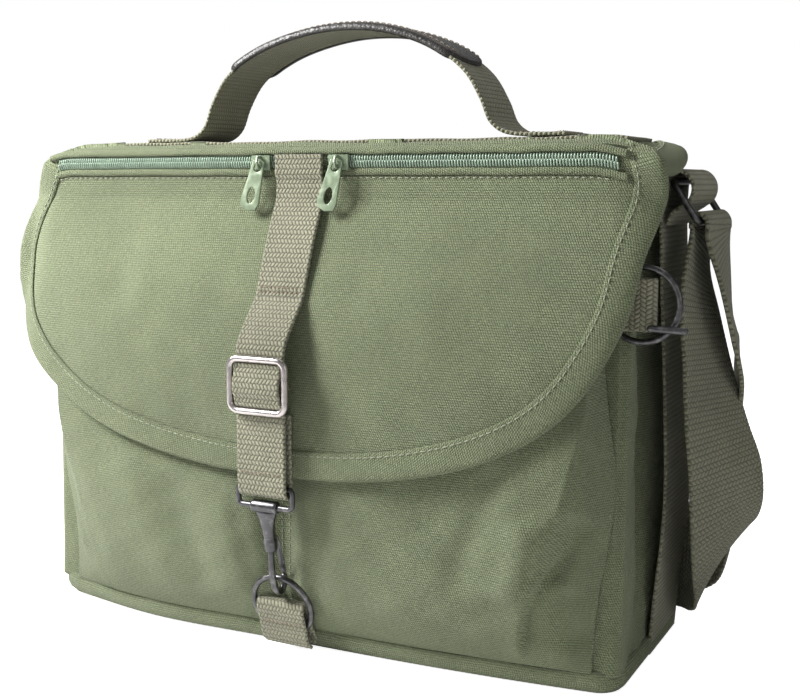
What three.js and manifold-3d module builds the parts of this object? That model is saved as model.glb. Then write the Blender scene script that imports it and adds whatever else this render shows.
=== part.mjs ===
// Messenger bag: canvas body with a full front flap, carry handle, snap-hook closure and shoulder strap.
// Millimetres, +X right, +Y back, +Z up. Origin: centre of the base, on the floor.
import * as THREE from 'three';
import Module from 'manifold-3d';
import { mergeVertices } from 'three/addons/utils/BufferGeometryUtils.js';

const wasm = await Module();
wasm.setup();

// ---- clearances and cloth thicknesses ----
const GAP = 0.35;
const WALL = 3.0;
const CLOTH = 2.4;
const WEBBING = 1.8;
const BINDING = 1.1;
const BINDING_CLEAR = 0.75;

// ---- body ----
const BODY_HALF = 168;
const BODY_TOP = 247;
const BACK_TOP = 226;
const BACK_Y = 60;
const FRONT_CORNER_Y = -50;
const FRONT_LEAN = 8;
const FRONT_BOW = 11;
const BASE_RIM = 11;
const BASE_CORNER = 14;
const BOARD_THICKNESS = 2.5;
const GUSSET_FOLD = 9;

// ---- front pocket ----
const POCKET_HALF = 158;
const POCKET_TOP = 190;
const POCKET_BULGE = 22;
const SEAM_DEPTH = 0.5;

// ---- flap ----
const FLAP_HALF = 184;
const FLAP_FOLD_Z = 258;
const FLAP_FOLD_Y = -48;
const FLAP_STRAIGHT_Z = 233;
const FLAP_SHOULDER = 17;
const FLAP_CORNER_Z = 212;
const FLAP_DROP = 114;
const FLAP_SWELL = 33;
const HOOD_DROOP = 7;
const HOOD_HALF = 172;
const HOOD_BACK_HALF = 165;
const TOP_PROFILE = [
  [-47.6, 258.6], [-44.8, 260.8], [-36, 261.4], [-12, 261.6], [15, 261.6],
  [37, 259.6], [50, 253.5], [58, 243], [60.3, 234], [60.5, 226.8],
];
const BINDING_WIDTH = 12;
const HOOD_BINDING_WIDTH = 10;

// ---- carry handle ----
const HANDLE_WEBBING_WIDTH = 38;
const HANDLE_Y = 4;
const HANDLE_PATH = [
  [-92, 267.2], [-86, 272], [-80, 285], [-70, 299], [-50, 311], [-22, 319], [4, 321.5],
  [30, 319], [56, 310], [74, 297], [83, 283], [88, 272], [94, 267.2],
];
const GRIP_HALF = 64;
const HANDLE_SWAY = 0.22;

// ---- closure ----
const STRAP_WIDTH = 28;
const STRAP_TOP_Z = 251.5;
const BAR_TACK_Z = 184;
const EYE_Z = 90;
const STRAP_LAYER_GAP = 3.6;
const BUCKLE_Z = 143;
const BUCKLE_HALF_WIDTH = 15.9;
const BUCKLE_HALF_HEIGHT = 13;
const BUCKLE_WIRE = 1.6;
const HOOK_WIRE = 1.5;
const RING_RADIUS = 17;
const RING_WIRE = 1.5;
const CLOSURE_RING = [0, -73.8, 25.3];
const RING_LEAN = 0.28;
const HOOK_TILT = 0.21;

// ---- zips ----
const ZIP_Z = 251.9;
const ZIP_INNER_X = 15.5;
const ZIP_OUTER_X = 153;
const WELT_Z = 256.6;
const ZIP_HEIGHT = 6;
const SLIDER_X = 23;
const PULL_LEAN = -0.1;

// ---- side hardware ----
const SIDE_WEB_WIDTH = 50;
const SIDE_WEB_Y = 28;
const TAB_Z = 187;
const TAB_WIDTH = 24;
const TAB_FOLD_X = 183.5;
const SIDE_RING_X = 177.5;
const SIDE_RING_Y = -48.6;
const PIN_START_X = 183;
const PIN_END_X = 200;
const PIN_DROP = 10;
const STRAP_RING_TOP = [176.5, 242];
const STRAP_RING_LOW = [189.5, 222.5];

// ---- colours ----
const CANVAS = 0x5d6b4a;
const CANVAS_LIGHT = 0x6c7a57;
const WEB = 0x6b6c58;
const LINING = 0x3f4238;
const GUNMETAL = 0x3a3a3c;
const NICKEL = 0x8f8a84;
const ZIP_PAINT = 0x7d9277;
const TEETH = 0xa9b8a4;
const LEATHER = 0x2b2723;
const BOARD = 0x4a4438;

const clamp01 = (t) => Math.min(1, Math.max(0, t));
const lerp = (a, b, t) => a + (b - a) * t;
const vec = (x, y, z) => new THREE.Vector3(x, y, z);
const smooth = (t) => clamp01(t) ** 2 * (3 - 2 * clamp01(t));

// ---------------------------------------------------------------- solids

// One closed body from raw vertices and triangles, turned to face outwards.
function closedBody(points, triangles) {
  let volume = 0;
  for (const [a, b, c] of triangles) {
    volume += points[a].dot(points[b].clone().cross(points[c]));
  }
  const index = [];
  for (const [a, b, c] of triangles) {
    index.push(a, volume > 0 ? b : c, volume > 0 ? c : b);
  }
  const geometry = new THREE.BufferGeometry();
  geometry.setAttribute('position', new THREE.Float32BufferAttribute(points.flatMap((p) => p.toArray()), 3));
  geometry.setIndex(index);
  return geometry;
}

// Normal of a surface(u, v) by small steps.
function slopeNormal(surface, u, v) {
  const step = 1e-3;
  const alongU = surface(Math.min(1, u + step), v).sub(surface(Math.max(0, u - step), v));
  const alongV = surface(u, Math.min(1, v + step)).sub(surface(u, Math.max(0, v - step)));
  return alongU.cross(alongV).normalize();
}

// A sheet of cloth: surface(u, v) for u, v in 0..1 gives its outer face, depth goes along the face normal.
function sheet(surface, columns, rows, depth, normalAt = null) {
  const outer = [];
  const inner = [];
  for (let j = 0; j <= rows; j++) {
    for (let i = 0; i <= columns; i++) {
      const u = i / columns;
      const v = j / rows;
      const p = surface(u, v);
      const normal = normalAt ? normalAt(p) : slopeNormal(surface, u, v);
      outer.push(p);
      inner.push(p.clone().addScaledVector(normal, depth));
    }
  }
  const count = outer.length;
  const at = (i, j) => j * (columns + 1) + i;
  const triangles = [];
  for (let j = 0; j < rows; j++) {
    for (let i = 0; i < columns; i++) {
      const [a, b, c, d] = [at(i, j), at(i + 1, j), at(i + 1, j + 1), at(i, j + 1)];
      triangles.push([a, b, c], [a, c, d]);
      triangles.push([count + a, count + c, count + b], [count + a, count + d, count + c]);
    }
  }
  const rim = [];
  for (let i = 0; i < columns; i++) rim.push(at(i, 0));
  for (let j = 0; j < rows; j++) rim.push(at(columns, j));
  for (let i = columns; i > 0; i--) rim.push(at(i, rows));
  for (let j = rows; j > 0; j--) rim.push(at(0, j));
  rim.forEach((a, k) => {
    const b = rim[(k + 1) % rim.length];
    triangles.push([a, count + b, b], [a, count + a, count + b]);
  });
  return closedBody([...outer, ...inner], triangles);
}

// A profile carried through a list of frames {o, a, b}: each profile point is o + p*a + q*b.
function sweep(frames, profile, loop = false) {
  const points = frames.flatMap(({ o, a, b }) => profile.map(
    ([p, q]) => o.clone().addScaledVector(a, p).addScaledVector(b, q),
  ));
  const n = profile.length;
  const triangles = [];
  const last = loop ? frames.length : frames.length - 1;
  for (let k = 0; k < last; k++) {
    const here = k * n;
    const next = ((k + 1) % frames.length) * n;
    for (let i = 0; i < n; i++) {
      const j = (i + 1) % n;
      triangles.push([here + i, here + j, next + j], [here + i, next + j, next + i]);
    }
  }
  if (!loop) {
    const outline = profile.map(([p, q]) => new THREE.Vector2(p, q));
    const cap = THREE.ShapeUtils.triangulateShape(outline, []);
    const turned = THREE.ShapeUtils.isClockWise(outline);
    const end = (frames.length - 1) * n;
    for (const [i, j, k] of cap) {
      triangles.push(turned ? [i, j, k] : [i, k, j]);
      triangles.push(turned ? [end + i, end + k, end + j] : [end + i, end + j, end + k]);
    }
  }
  return closedBody(points, triangles);
}

// The same body on the other side of the bag.
function mirrored(geometry) {
  const turned = geometry.clone().scale(-1, 1, 1);
  turned.setIndex([...geometry.index.array].reverse());
  return turned;
}

const circle = (radius, sides) => Array.from({ length: sides }, (_, i) => {
  const angle = (2 * Math.PI * i) / sides;
  return [radius * Math.cos(angle), radius * Math.sin(angle)];
});
const band = (width, thickness) => [
  [-width / 2, -thickness / 2], [width / 2, -thickness / 2],
  [width / 2, thickness / 2], [-width / 2, thickness / 2],
];

// Smooth points through hand-set ones.
const through = (points, count) => new THREE.CatmullRomCurve3(points, false, 'centripetal').getSpacedPoints(count);

// Frames along a path: a is the width direction given for each point, b stands square to path and width.
function ribbonFrames(path, widthAt) {
  return path.map((o, i) => {
    const before = path[Math.max(0, i - 1)];
    const after = path[Math.min(path.length - 1, i + 1)];
    const along = after.clone().sub(before).normalize();
    const a = widthAt(i / (path.length - 1));
    a.addScaledVector(along, -a.dot(along)).normalize();
    return { o, a, b: along.clone().cross(a).normalize() };
  });
}
const ribbon = (path, widthAt, width, thickness) => sweep(ribbonFrames(path, widthAt), band(width, thickness));

// A round bar through points, with the frame direction taken from one fixed side vector.
const wire = (path, side, radius, sides = 8) => sweep(ribbonFrames(path, () => side.clone()), circle(radius, sides));

// A closed round-section ring in the plane of the unit vectors a and b.
function ring(centre, a, b, radius, wireRadius, around = 22, sides = 7) {
  const frames = Array.from({ length: around }, (_, i) => {
    const angle = (2 * Math.PI * i) / around;
    const out = a.clone().multiplyScalar(Math.cos(angle)).addScaledVector(b, Math.sin(angle));
    return { o: centre.clone().addScaledVector(out, radius), a: out, b: a.clone().cross(b) };
  });
  return sweep(frames, circle(wireRadius, sides), true);
}

// A closed rectangular loop of round wire with rounded corners, in the plane of a (width) and b (height).
function rectangularLoop(centre, a, b, halfWidth, halfHeight, corner, wireRadius, sides = 7) {
  const frames = [];
  const normal = a.clone().cross(b);
  for (let quarter = 0; quarter < 4; quarter++) {
    const [sx, sz] = [[1, 1], [-1, 1], [-1, -1], [1, -1]][quarter];
    for (let k = 0; k <= 3; k++) {
      const angle = (quarter + k / 3) * (Math.PI / 2);
      const out = a.clone().multiplyScalar(Math.cos(angle)).addScaledVector(b, Math.sin(angle));
      const o = centre.clone()
        .addScaledVector(a, sx * (halfWidth - corner))
        .addScaledVector(b, sz * (halfHeight - corner))
        .addScaledVector(out, corner);
      frames.push({ o, a: out, b: normal });
    }
  }
  return sweep(frames, circle(wireRadius, sides), true);
}

function toManifold(geometry) {
  const plain = geometry.clone();
  plain.deleteAttribute('normal');
  plain.deleteAttribute('uv');
  const merged = mergeVertices(plain, 1e-4);
  return new wasm.Manifold(new wasm.Mesh({
    numProp: 3,
    vertProperties: new Float32Array(merged.attributes.position.array),
    triVerts: new Uint32Array(merged.index.array),
  }));
}
function fromManifold(body) {
  const mesh = body.getMesh();
  const geometry = new THREE.BufferGeometry();
  geometry.setAttribute('position', new THREE.Float32BufferAttribute(mesh.vertProperties, 3));
  geometry.setIndex(new THREE.Uint32BufferAttribute(mesh.triVerts, 1));
  return geometry;
}
const union = (...parts) => fromManifold(parts.map(toManifold).reduce((a, b) => a.add(b)));
const cut = (a, ...tools) => fromManifold(tools.map(toManifold).reduce((body, t) => body.subtract(t), toManifold(a)));
const block = (w, d, h, x, y, z) => new THREE.BoxGeometry(w, d, h).translate(x, y, z);
const barX = (radius, length, x, y, z, sides = 12) => new THREE.CylinderGeometry(radius, radius, length, sides)
  .rotateZ(Math.PI / 2).translate(x, y, z);

// ---------------------------------------------------------------- shape of the bag

function bodyFrontY(x, z) {
  const t = z / BODY_TOP;
  const bow = FRONT_BOW * (1 - (x / BODY_HALF) ** 2) * (1 - t);
  return FRONT_CORNER_Y + FRONT_LEAN * t - bow;
}

function pocketY(x, z) {
  const s = clamp01((z - BASE_RIM) / (POCKET_TOP - BASE_RIM));
  const rise = Math.sin(2.5 * s ** 0.72);
  const across = (1 - Math.abs(x / POCKET_HALF) ** 4) ** 0.8;
  const seam = 1 - SEAM_DEPTH * Math.exp(-((x / 12) ** 2));
  return bodyFrontY(x, z) - GAP - CLOTH - POCKET_BULGE * rise * across * seam;
}

// The flap runs straight past the zips, then swells out over the pocket.
function flapY(x, z) {
  const s = clamp01((FLAP_STRAIGHT_Z - z) / 104);
  const swell = Math.sin((Math.PI / 2) * s) ** 1.1;
  const side = 1 - 0.5 * Math.min(1, Math.abs(x) / FLAP_HALF) ** 4;
  return FLAP_FOLD_Y - 1.6 - FLAP_SWELL * swell * side;
}
function flapLowerZ(across) {
  const rest = Math.max(0, 1 - Math.abs(across) ** 2.3);
  return FLAP_CORNER_Z - FLAP_DROP * rest ** (1 / 2.3);
}
function flapHalfAt(z) {
  return FLAP_HALF - FLAP_SHOULDER * clamp01((z - FLAP_CORNER_Z) / (FLAP_FOLD_Z - FLAP_CORNER_Z)) ** 2.2;
}
function flapFront(across, down) {
  const z = lerp(FLAP_FOLD_Z, flapLowerZ(across), down);
  const x = across * flapHalfAt(z);
  return vec(x, flapY(x, z), z);
}
function flapNormal({ x, z }) {
  const slopeX = (flapY(x + 0.1, z) - flapY(x - 0.1, z)) / 0.2;
  const slopeZ = (flapY(x, z + 0.1) - flapY(x, z - 0.1)) / 0.2;
  return vec(slopeX, -1, slopeZ).normalize();
}
function hoodHalf(t) {
  const front = lerp(FLAP_HALF - FLAP_SHOULDER, HOOD_HALF, smooth(t * 3));
  return lerp(front, HOOD_BACK_HALF, smooth((t - 0.4) / 0.2));
}
function flapTop(x, t) {
  const last = TOP_PROFILE.length - 1;
  const k = Math.min(last - 1, Math.floor(t * last));
  const f = t * last - k;
  const y = lerp(TOP_PROFILE[k][0], TOP_PROFILE[k + 1][0], f);
  const z = lerp(TOP_PROFILE[k][1], TOP_PROFILE[k + 1][1], f);
  const droop = HOOD_DROOP * clamp01((Math.abs(x) - 150) / 26) ** 1.3 * smooth((z - 226) / 12) * smooth(t * 4);
  return vec(x, y, z - droop);
}

// ---------------------------------------------------------------- body parts

function baseOutline(inset, frontInset = inset) {
  const shape = new THREE.Shape();
  const half = BODY_HALF + 1.2 - inset;
  const radius = BASE_CORNER - inset;
  const points = [];
  const frontY = (x) => bodyFrontY(x, 0) + frontInset;
  for (let i = 0; i <= 12; i++) {
    const x = lerp(-half + radius, half - radius, i / 12);
    points.push([x, frontY(x)]);
  }
  const corner = (cx, cy, from) => {
    for (let k = 1; k < 4; k++) {
      const angle = from + (k / 4) * (Math.PI / 2);
      points.push([cx + radius * Math.cos(angle), cy + radius * Math.sin(angle)]);
    }
  };
  const frontCorner = frontY(half - radius) + radius;
  const backCorner = BACK_Y - inset - radius;
  corner(half - radius, frontCorner, -Math.PI / 2);
  points.push([half, frontCorner], [half, backCorner]);
  corner(half - radius, backCorner, 0);
  points.push([half - radius, BACK_Y - inset], [-half + radius, BACK_Y - inset]);
  corner(-half + radius, backCorner, Math.PI / 2);
  points.push([-half, backCorner], [-half, frontCorner]);
  corner(-half + radius, frontCorner, Math.PI);
  shape.setFromPoints(points.map(([x, y]) => new THREE.Vector2(x, y)));
  return shape;
}
const plate = (shape, z0, z1) => new THREE.ExtrudeGeometry(shape, { depth: z1 - z0, bevelEnabled: false })
  .translate(0, 0, z0);

function basePanel() {
  const outer = plate(baseOutline(0), 0, BASE_RIM);
  return cut(outer, plate(baseOutline(WALL), WALL, BASE_RIM + 1));
}
const baseBoard = () => plate(baseOutline(WALL + 1), WALL + GAP, WALL + GAP + BOARD_THICKNESS);

function frontPanel() {
  const half = BODY_HALF - 2.5;
  const surface = (u, v) => {
    const x = lerp(-half, half, u);
    const z = lerp(BASE_RIM + GAP, BODY_TOP, v);
    return vec(x, bodyFrontY(x, z), z);
  };
  return sheet(surface, 12, 6, -WALL);
}
function backPanel() {
  const surface = (u, v) => vec(
    lerp(-BODY_HALF + 2.5, BODY_HALF - 2.5, u),
    BACK_Y,
    lerp(BASE_RIM + GAP, BACK_TOP, v),
  );
  return sheet(surface, 6, 4, WALL);
}
function gusset(side) {
  const surface = (u, v) => {
    const along = u;
    const zTop = lerp(BODY_TOP, BACK_TOP, smooth((along - 0.7) / 0.3));
    const z = lerp(BASE_RIM + GAP, zTop, v);
    const y = lerp(bodyFrontY(BODY_HALF, z), BACK_Y, along);
    const fold = GUSSET_FOLD * v ** 1.5 * Math.sin(Math.PI * along) ** 2;
    return vec(side * (BODY_HALF + 1.2 - fold), y, z);
  };
  return sheet(surface, 8, 6, -side * WALL);
}
function frontPocket() {
  const surface = (u, v) => {
    const x = POCKET_HALF * Math.sin((u - 0.5) * Math.PI);
    const z = lerp(BASE_RIM + GAP, POCKET_TOP, v);
    return vec(x, pocketY(x, z), z);
  };
  return sheet(surface, 22, 10, -CLOTH);
}

// Webbing up the side of the bag: from the base seam to a loop over the top bar of the strap ring.
function sideWebbing(side) {
  const face = BODY_HALF + 1.2 + GAP + WEBBING / 2;
  const [ringX, ringZ] = STRAP_RING_TOP;
  const path = through([
    vec(side * (face + 0.4), SIDE_WEB_Y, 2.5),
    vec(side * (face + 0.6), SIDE_WEB_Y, 30),
    vec(side * (face + 3.2), SIDE_WEB_Y, 90),
    vec(side * (face + 2.4), SIDE_WEB_Y, 160),
    vec(side * (face + 0.4), SIDE_WEB_Y, 212),
    vec(side * (face + 0.5), SIDE_WEB_Y, ringZ - 7),
    vec(side * (ringX - 4.4), SIDE_WEB_Y, ringZ + 1.4),
    vec(side * (ringX - 0.6), SIDE_WEB_Y, ringZ + 4.7),
    vec(side * (ringX + 5.5), SIDE_WEB_Y, ringZ + 4.5),
    vec(side * (ringX + 11), SIDE_WEB_Y, ringZ + 1),
    vec(side * (ringX + 13.6), SIDE_WEB_Y, ringZ - 5),
    vec(side * (ringX + 11), SIDE_WEB_Y, ringZ - 10.4),
    vec(side * (ringX + 5), SIDE_WEB_Y, ringZ - 12.6),
    vec(side * (ringX - 0.4), SIDE_WEB_Y, ringZ - 15.4),
    vec(side * (ringX - 2.6), SIDE_WEB_Y, ringZ - 21),
  ], 50);
  return ribbon(path, () => vec(0, 1, 0), SIDE_WEB_WIDTH, WEBBING);
}
function strapRing(side) {
  const [x1, z1] = STRAP_RING_TOP;
  const [x0, z0] = STRAP_RING_LOW;
  const centre = vec(side * (x0 + x1) / 2, SIDE_WEB_Y, (z0 + z1) / 2);
  const height = vec(side * (x1 - x0), 0, z1 - z0);
  return rectangularLoop(centre, vec(0, 1, 0), height.clone().normalize(), 27.6, height.length() / 2, 3, 1.6);
}

// A folded webbing tab standing out of the front corner seam, with a round ring through its fold.
function sideTab(side) {
  const front = SIDE_RING_Y - RING_WIRE - GAP - WEBBING / 2;
  const back = SIDE_RING_Y + RING_WIRE + GAP + WEBBING / 2;
  const mid = (front + back) / 2;
  const path = [
    vec(side * 160, back, TAB_Z), vec(side * 172, back, TAB_Z), vec(side * (TAB_FOLD_X - 2.6), back, TAB_Z),
    vec(side * (TAB_FOLD_X - 0.7), lerp(mid, back, 0.7), TAB_Z), vec(side * TAB_FOLD_X, mid, TAB_Z),
    vec(side * (TAB_FOLD_X - 0.7), lerp(mid, front, 0.7), TAB_Z),
    vec(side * (TAB_FOLD_X - 2.6), front, TAB_Z), vec(side * 172, front, TAB_Z), vec(side * 160, front, TAB_Z),
  ];
  return ribbon(path, () => vec(0, 0, 1), TAB_WIDTH, WEBBING);
}
const sideRing = (side) => ring(
  vec(side * SIDE_RING_X, SIDE_RING_Y, TAB_Z), vec(1, 0, 0), vec(0, 0, 1), RING_RADIUS, RING_WIRE,
);
function sidePin() {
  const y = SIDE_RING_Y - RING_WIRE - GAP - WEBBING - GAP - 1.7;
  const z = TAB_Z - PIN_DROP;
  return wire([vec(PIN_START_X, y, z), vec(PIN_END_X, y, z - 0.4)], vec(0, 0, 1), 1.7);
}

// ---------------------------------------------------------------- flap parts

const flapTopPanel = () => sheet((u, v) => flapTop(lerp(-1, 1, u) * hoodHalf(v), v), 18, 18, -CLOTH);
const acrossAt = (u) => Math.sin((u - 0.5) * Math.PI);
const flapFrontPanel = () => sheet((u, v) => flapFront(acrossAt(u), 1 - v), 24, 12, -CLOTH, flapNormal);

// Second layer behind the flap front: the back of the two zipped flap pockets.
function flapLining() {
  const surface = (u, v) => {
    const across = 0.9 * acrossAt(u);
    const p = flapFront(across, lerp(0.84, 0.06, v));
    return vec(p.x, p.y + CLOTH + 1.1, p.z);
  };
  return sheet(surface, 14, 6, -1);
}

// Cloth tape folded round an edge: a runs outwards in the cloth, b along its outer face normal.
const bindingProfile = (width, clothThickness) => {
  const outer = BINDING_CLEAR;
  const inner = -clothThickness - BINDING_CLEAR - 0.4;
  return [
    [-width, outer], [-width, outer + BINDING], [1.2, outer + BINDING], [2.2, 0.2], [2.2, inner],
    [1.2, inner - BINDING], [-width * 0.5, inner - BINDING], [-width * 0.5, inner], [1, inner], [1, outer],
  ];
};
function edgeFrames(edge, inward, normalHint) {
  return edge.map((o, i) => {
    const along = edge[Math.min(edge.length - 1, i + 1)].clone().sub(edge[Math.max(0, i - 1)]).normalize();
    const out = o.clone().sub(inward[i]);
    const b = along.clone().cross(out).normalize();
    if (b.dot(normalHint(o)) < 0) b.negate();
    const a = b.clone().cross(along).normalize();
    if (a.dot(out) < 0) a.negate();
    return { o, a, b };
  });
}
function flapBinding() {
  const edge = [];
  for (let i = 0; i < 8; i++) edge.push(flapFront(-1, lerp(0.11, 0.95, i / 8)));
  for (let i = 0; i <= 34; i++) edge.push(flapFront(-Math.cos((i / 34) * Math.PI), 1));
  for (let i = 7; i >= 0; i--) edge.push(flapFront(1, lerp(0.11, 0.95, i / 8)));
  const inward = edge.map((o, i) => {
    const along = edge[Math.min(edge.length - 1, i + 1)].clone().sub(edge[Math.max(0, i - 1)]);
    const [nx, nz] = [-along.z, along.x];
    const scale = BINDING_WIDTH / Math.hypot(nx, nz);
    const [x, z] = [o.x + nx * scale, o.z + nz * scale];
    return vec(x, flapY(x, z), z);
  });
  const frames = edgeFrames(edge, inward, () => vec(0, -1, 0));
  return sweep(frames, bindingProfile(BINDING_WIDTH, CLOTH));
}
function hoodBinding(side) {
  const edge = [];
  const inward = [];
  for (let i = 0; i <= 18; i++) {
    const t = lerp(0.13, 0.93, i / 18);
    edge.push(flapTop(-hoodHalf(t), t));
    inward.push(flapTop(HOOD_BINDING_WIDTH - hoodHalf(t), t));
  }
  const frames = edgeFrames(edge, inward, (o) => vec(0, o.y * 0.4, o.z - 225));
  const left = sweep(frames, bindingProfile(HOOD_BINDING_WIDTH, CLOTH));
  return side < 0 ? left : mirrored(left);
}

// Raised welt of cloth along the top edge, just above the zips.
function zipWelt() {
  const y = FLAP_FOLD_Y - 1.6 - GAP;
  const ends = [-ZIP_OUTER_X, ZIP_OUTER_X];
  const frames = ends.map((x) => ({ o: vec(x, y, WELT_Z), a: vec(0, -1, 0), b: vec(0, 0, 1) }));
  return sweep(frames, [[0, -1.4], [1.8, -1.2], [2.5, 0], [1.8, 1.2], [0, 1.4]]);
}
function zipChain(side) {
  const y = FLAP_FOLD_Y - 1.6 - GAP;
  const frames = [ZIP_INNER_X, ZIP_OUTER_X].map((x) => (
    { o: vec(side * x, y, ZIP_Z), a: vec(0, -1, 0), b: vec(0, 0, 1) }
  ));
  return sweep(frames, [[0, -ZIP_HEIGHT / 2], [1.4, -ZIP_HEIGHT / 2], [1.4, ZIP_HEIGHT / 2], [0, ZIP_HEIGHT / 2]]);
}
const SLIDER_BACK_Y = FLAP_FOLD_Y - 1.6 - GAP - 1.4 - GAP;
const PULL_AXIS_Y = SLIDER_BACK_Y - 2.95;
const PULL_AXIS_Z = ZIP_Z - 0.2;
function zipSlider(side) {
  const x = side * SLIDER_X;
  const lipZ = ZIP_Z - ZIP_HEIGHT / 2 - GAP - 0.55;
  const body = block(11, 1.6, 7.6, x, SLIDER_BACK_Y - 0.8, ZIP_Z - 0.6);
  const lip = block(11, 2.2, 1.1, x, SLIDER_BACK_Y + 0.4, lipZ);
  const bridge = wire([
    vec(x, SLIDER_BACK_Y - 1, ZIP_Z + 2.4), vec(x, SLIDER_BACK_Y - 4.4, ZIP_Z + 2),
    vec(x, SLIDER_BACK_Y - 5.2, ZIP_Z - 0.4), vec(x, SLIDER_BACK_Y - 4.4, ZIP_Z - 3),
    vec(x, SLIDER_BACK_Y - 1, ZIP_Z - 3.8),
  ], vec(1, 0, 0), 0.8, 6);
  return union(body, lip, bridge);
}
// A tapered pull hanging from the slider's bridge, with an eye at the top and a long hole near the tip.
function zipPull(side) {
  const shape = new THREE.Shape();
  shape.setFromPoints([
    [-3.4, 0.5], [-4.2, -8], [-5.6, -21], [-4.6, -24], [0, -25.4], [4.6, -24], [5.6, -21], [4.2, -8], [3.4, 0.5],
  ].map(([x, z]) => new THREE.Vector2(x, z)));
  const leaf = new THREE.ExtrudeGeometry(shape, { depth: 1.2, bevelEnabled: false });
  const hole = (z, rx, rz) => new THREE.CylinderGeometry(1, 1, 4, 12)
    .rotateX(Math.PI / 2).scale(rx, rz, 1).translate(0, z, 0);
  return cut(leaf, hole(-3.1, 2.2, 2.2), hole(-17.5, 2.4, 4.4))
    .rotateX(Math.PI / 2)
    .translate(0, 0.6, 0)
    .rotateX(PULL_LEAN)
    .translate(side * SLIDER_X, PULL_AXIS_Y, PULL_AXIS_Z);
}

// ---------------------------------------------------------------- carry handle

// Flat webbing sewn along the top of the flap, with raised feet where the handle leaves it.
function handleBase() {
  const lift = GAP + WEBBING / 2;
  const frames = [];
  for (let i = 0; i <= 36; i++) {
    const x = lerp(-158, 158, i / 36);
    const p = flapTop(x, 0.44);
    frames.push({ o: vec(x, HANDLE_Y, p.z + lift), a: vec(0, 1, 0), b: vec(0, 0, 1) });
  }
  return sweep(frames, band(HANDLE_WEBBING_WIDTH, WEBBING));
}
function handleFoot(side) {
  const [x, z] = side < 0 ? HANDLE_PATH[0] : HANDLE_PATH[HANDLE_PATH.length - 1];
  const low = 261.6 + GAP + WEBBING + GAP + WEBBING / 2;
  const path = through([
    vec(x + side * 34, HANDLE_Y, low), vec(x + side * 16, HANDLE_Y, low), vec(x + side * 6, HANDLE_Y, low + 0.5),
    vec(x + side * 1.2, HANDLE_Y, z - 0.6),
  ], 8);
  return ribbon(path, () => vec(0, 1, 0), HANDLE_WEBBING_WIDTH, WEBBING);
}
const handlePath = (count) => through(HANDLE_PATH.map(([x, z]) => vec(x, HANDLE_Y, z)), count);
// The ends of the loop are cut to a shallow V, which leaves it room to sway over its feet.
function handleLoop() {
  const strip = ribbon(handlePath(34), () => vec(0, 1, 0), HANDLE_WEBBING_WIDTH, WEBBING);
  const wedge = (side) => block(240, 66, 12, 0, side * 27, -6)
    .rotateX(side * HANDLE_SWAY).translate(0, HANDLE_Y, HANDLE_PATH[0][1]);
  return cut(strip, wedge(-1), wedge(1));
}

// Leather pad wrapped over the crown of the handle, pointed at both ends.
function handleGrip() {
  const path = handlePath(34).filter((p) => p.x > -GRIP_HALF - 6 && p.x < GRIP_HALF + 6 && p.z > 292);
  const frames = ribbonFrames(path, () => vec(0, 1, 0));
  const half = HANDLE_WEBBING_WIDTH / 2;
  frames.forEach((frame) => {
    if (frame.b.z < 0) frame.b.negate();
  });
  const lower = WEBBING / 2 + GAP;
  const profile = [
    [-half - 2.2, -lower], [-half - GAP, -lower], [-half - GAP, lower], [half + GAP, lower],
    [half + GAP, -lower], [half + 2.2, -lower], [half + 1.8, lower + 1.4], [half - 3, lower + 2.1],
    [-half + 3, lower + 2.1], [-half - 1.8, lower + 1.4],
  ];
  return sweep(frames, profile);
}

// ---------------------------------------------------------------- closure strap, hook and ring

const strapFace = (z) => flapY(0, z) - 1 - WEBBING / 2;

function strapSewn() {
  const path = [];
  for (let i = 0; i <= 10; i++) {
    const z = lerp(STRAP_TOP_Z, BAR_TACK_Z + GAP, i / 10);
    path.push(vec(0, strapFace(z) - (z > 240 ? 1.6 : 0), z));
  }
  return ribbon(path, () => vec(1, 0, 0), STRAP_WIDTH, WEBBING);
}
// The free part hangs over the buckle bar, down to the hook eye, round it and back up behind.
const BACK_LAYER_Y = flapY(0, 100) - BINDING_CLEAR - BINDING - GAP - WEBBING / 2;
const FRONT_LAYER_Y = BACK_LAYER_Y - STRAP_LAYER_GAP - WEBBING;
function strapFree() {
  const frontY = FRONT_LAYER_Y;
  const backY = BACK_LAYER_Y;
  const mid = (frontY + backY) / 2;
  const path = [
    vec(0, strapFace(BAR_TACK_Z), BAR_TACK_Z), vec(0, lerp(strapFace(BAR_TACK_Z), frontY, 0.42), 172),
    vec(0, lerp(strapFace(BAR_TACK_Z), frontY, 0.86), 162), vec(0, frontY, 156),
    vec(0, frontY, 130), vec(0, frontY, 110), vec(0, frontY, EYE_Z + 1),
    vec(0, lerp(mid, frontY, 0.72), EYE_Z - 2), vec(0, mid, EYE_Z - 3.2), vec(0, lerp(mid, backY, 0.72), EYE_Z - 2),
    vec(0, backY, EYE_Z + 1), vec(0, backY, 110), vec(0, backY, 128),
  ];
  return ribbon(path, () => vec(1, 0, 0), STRAP_WIDTH, WEBBING);
}
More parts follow.
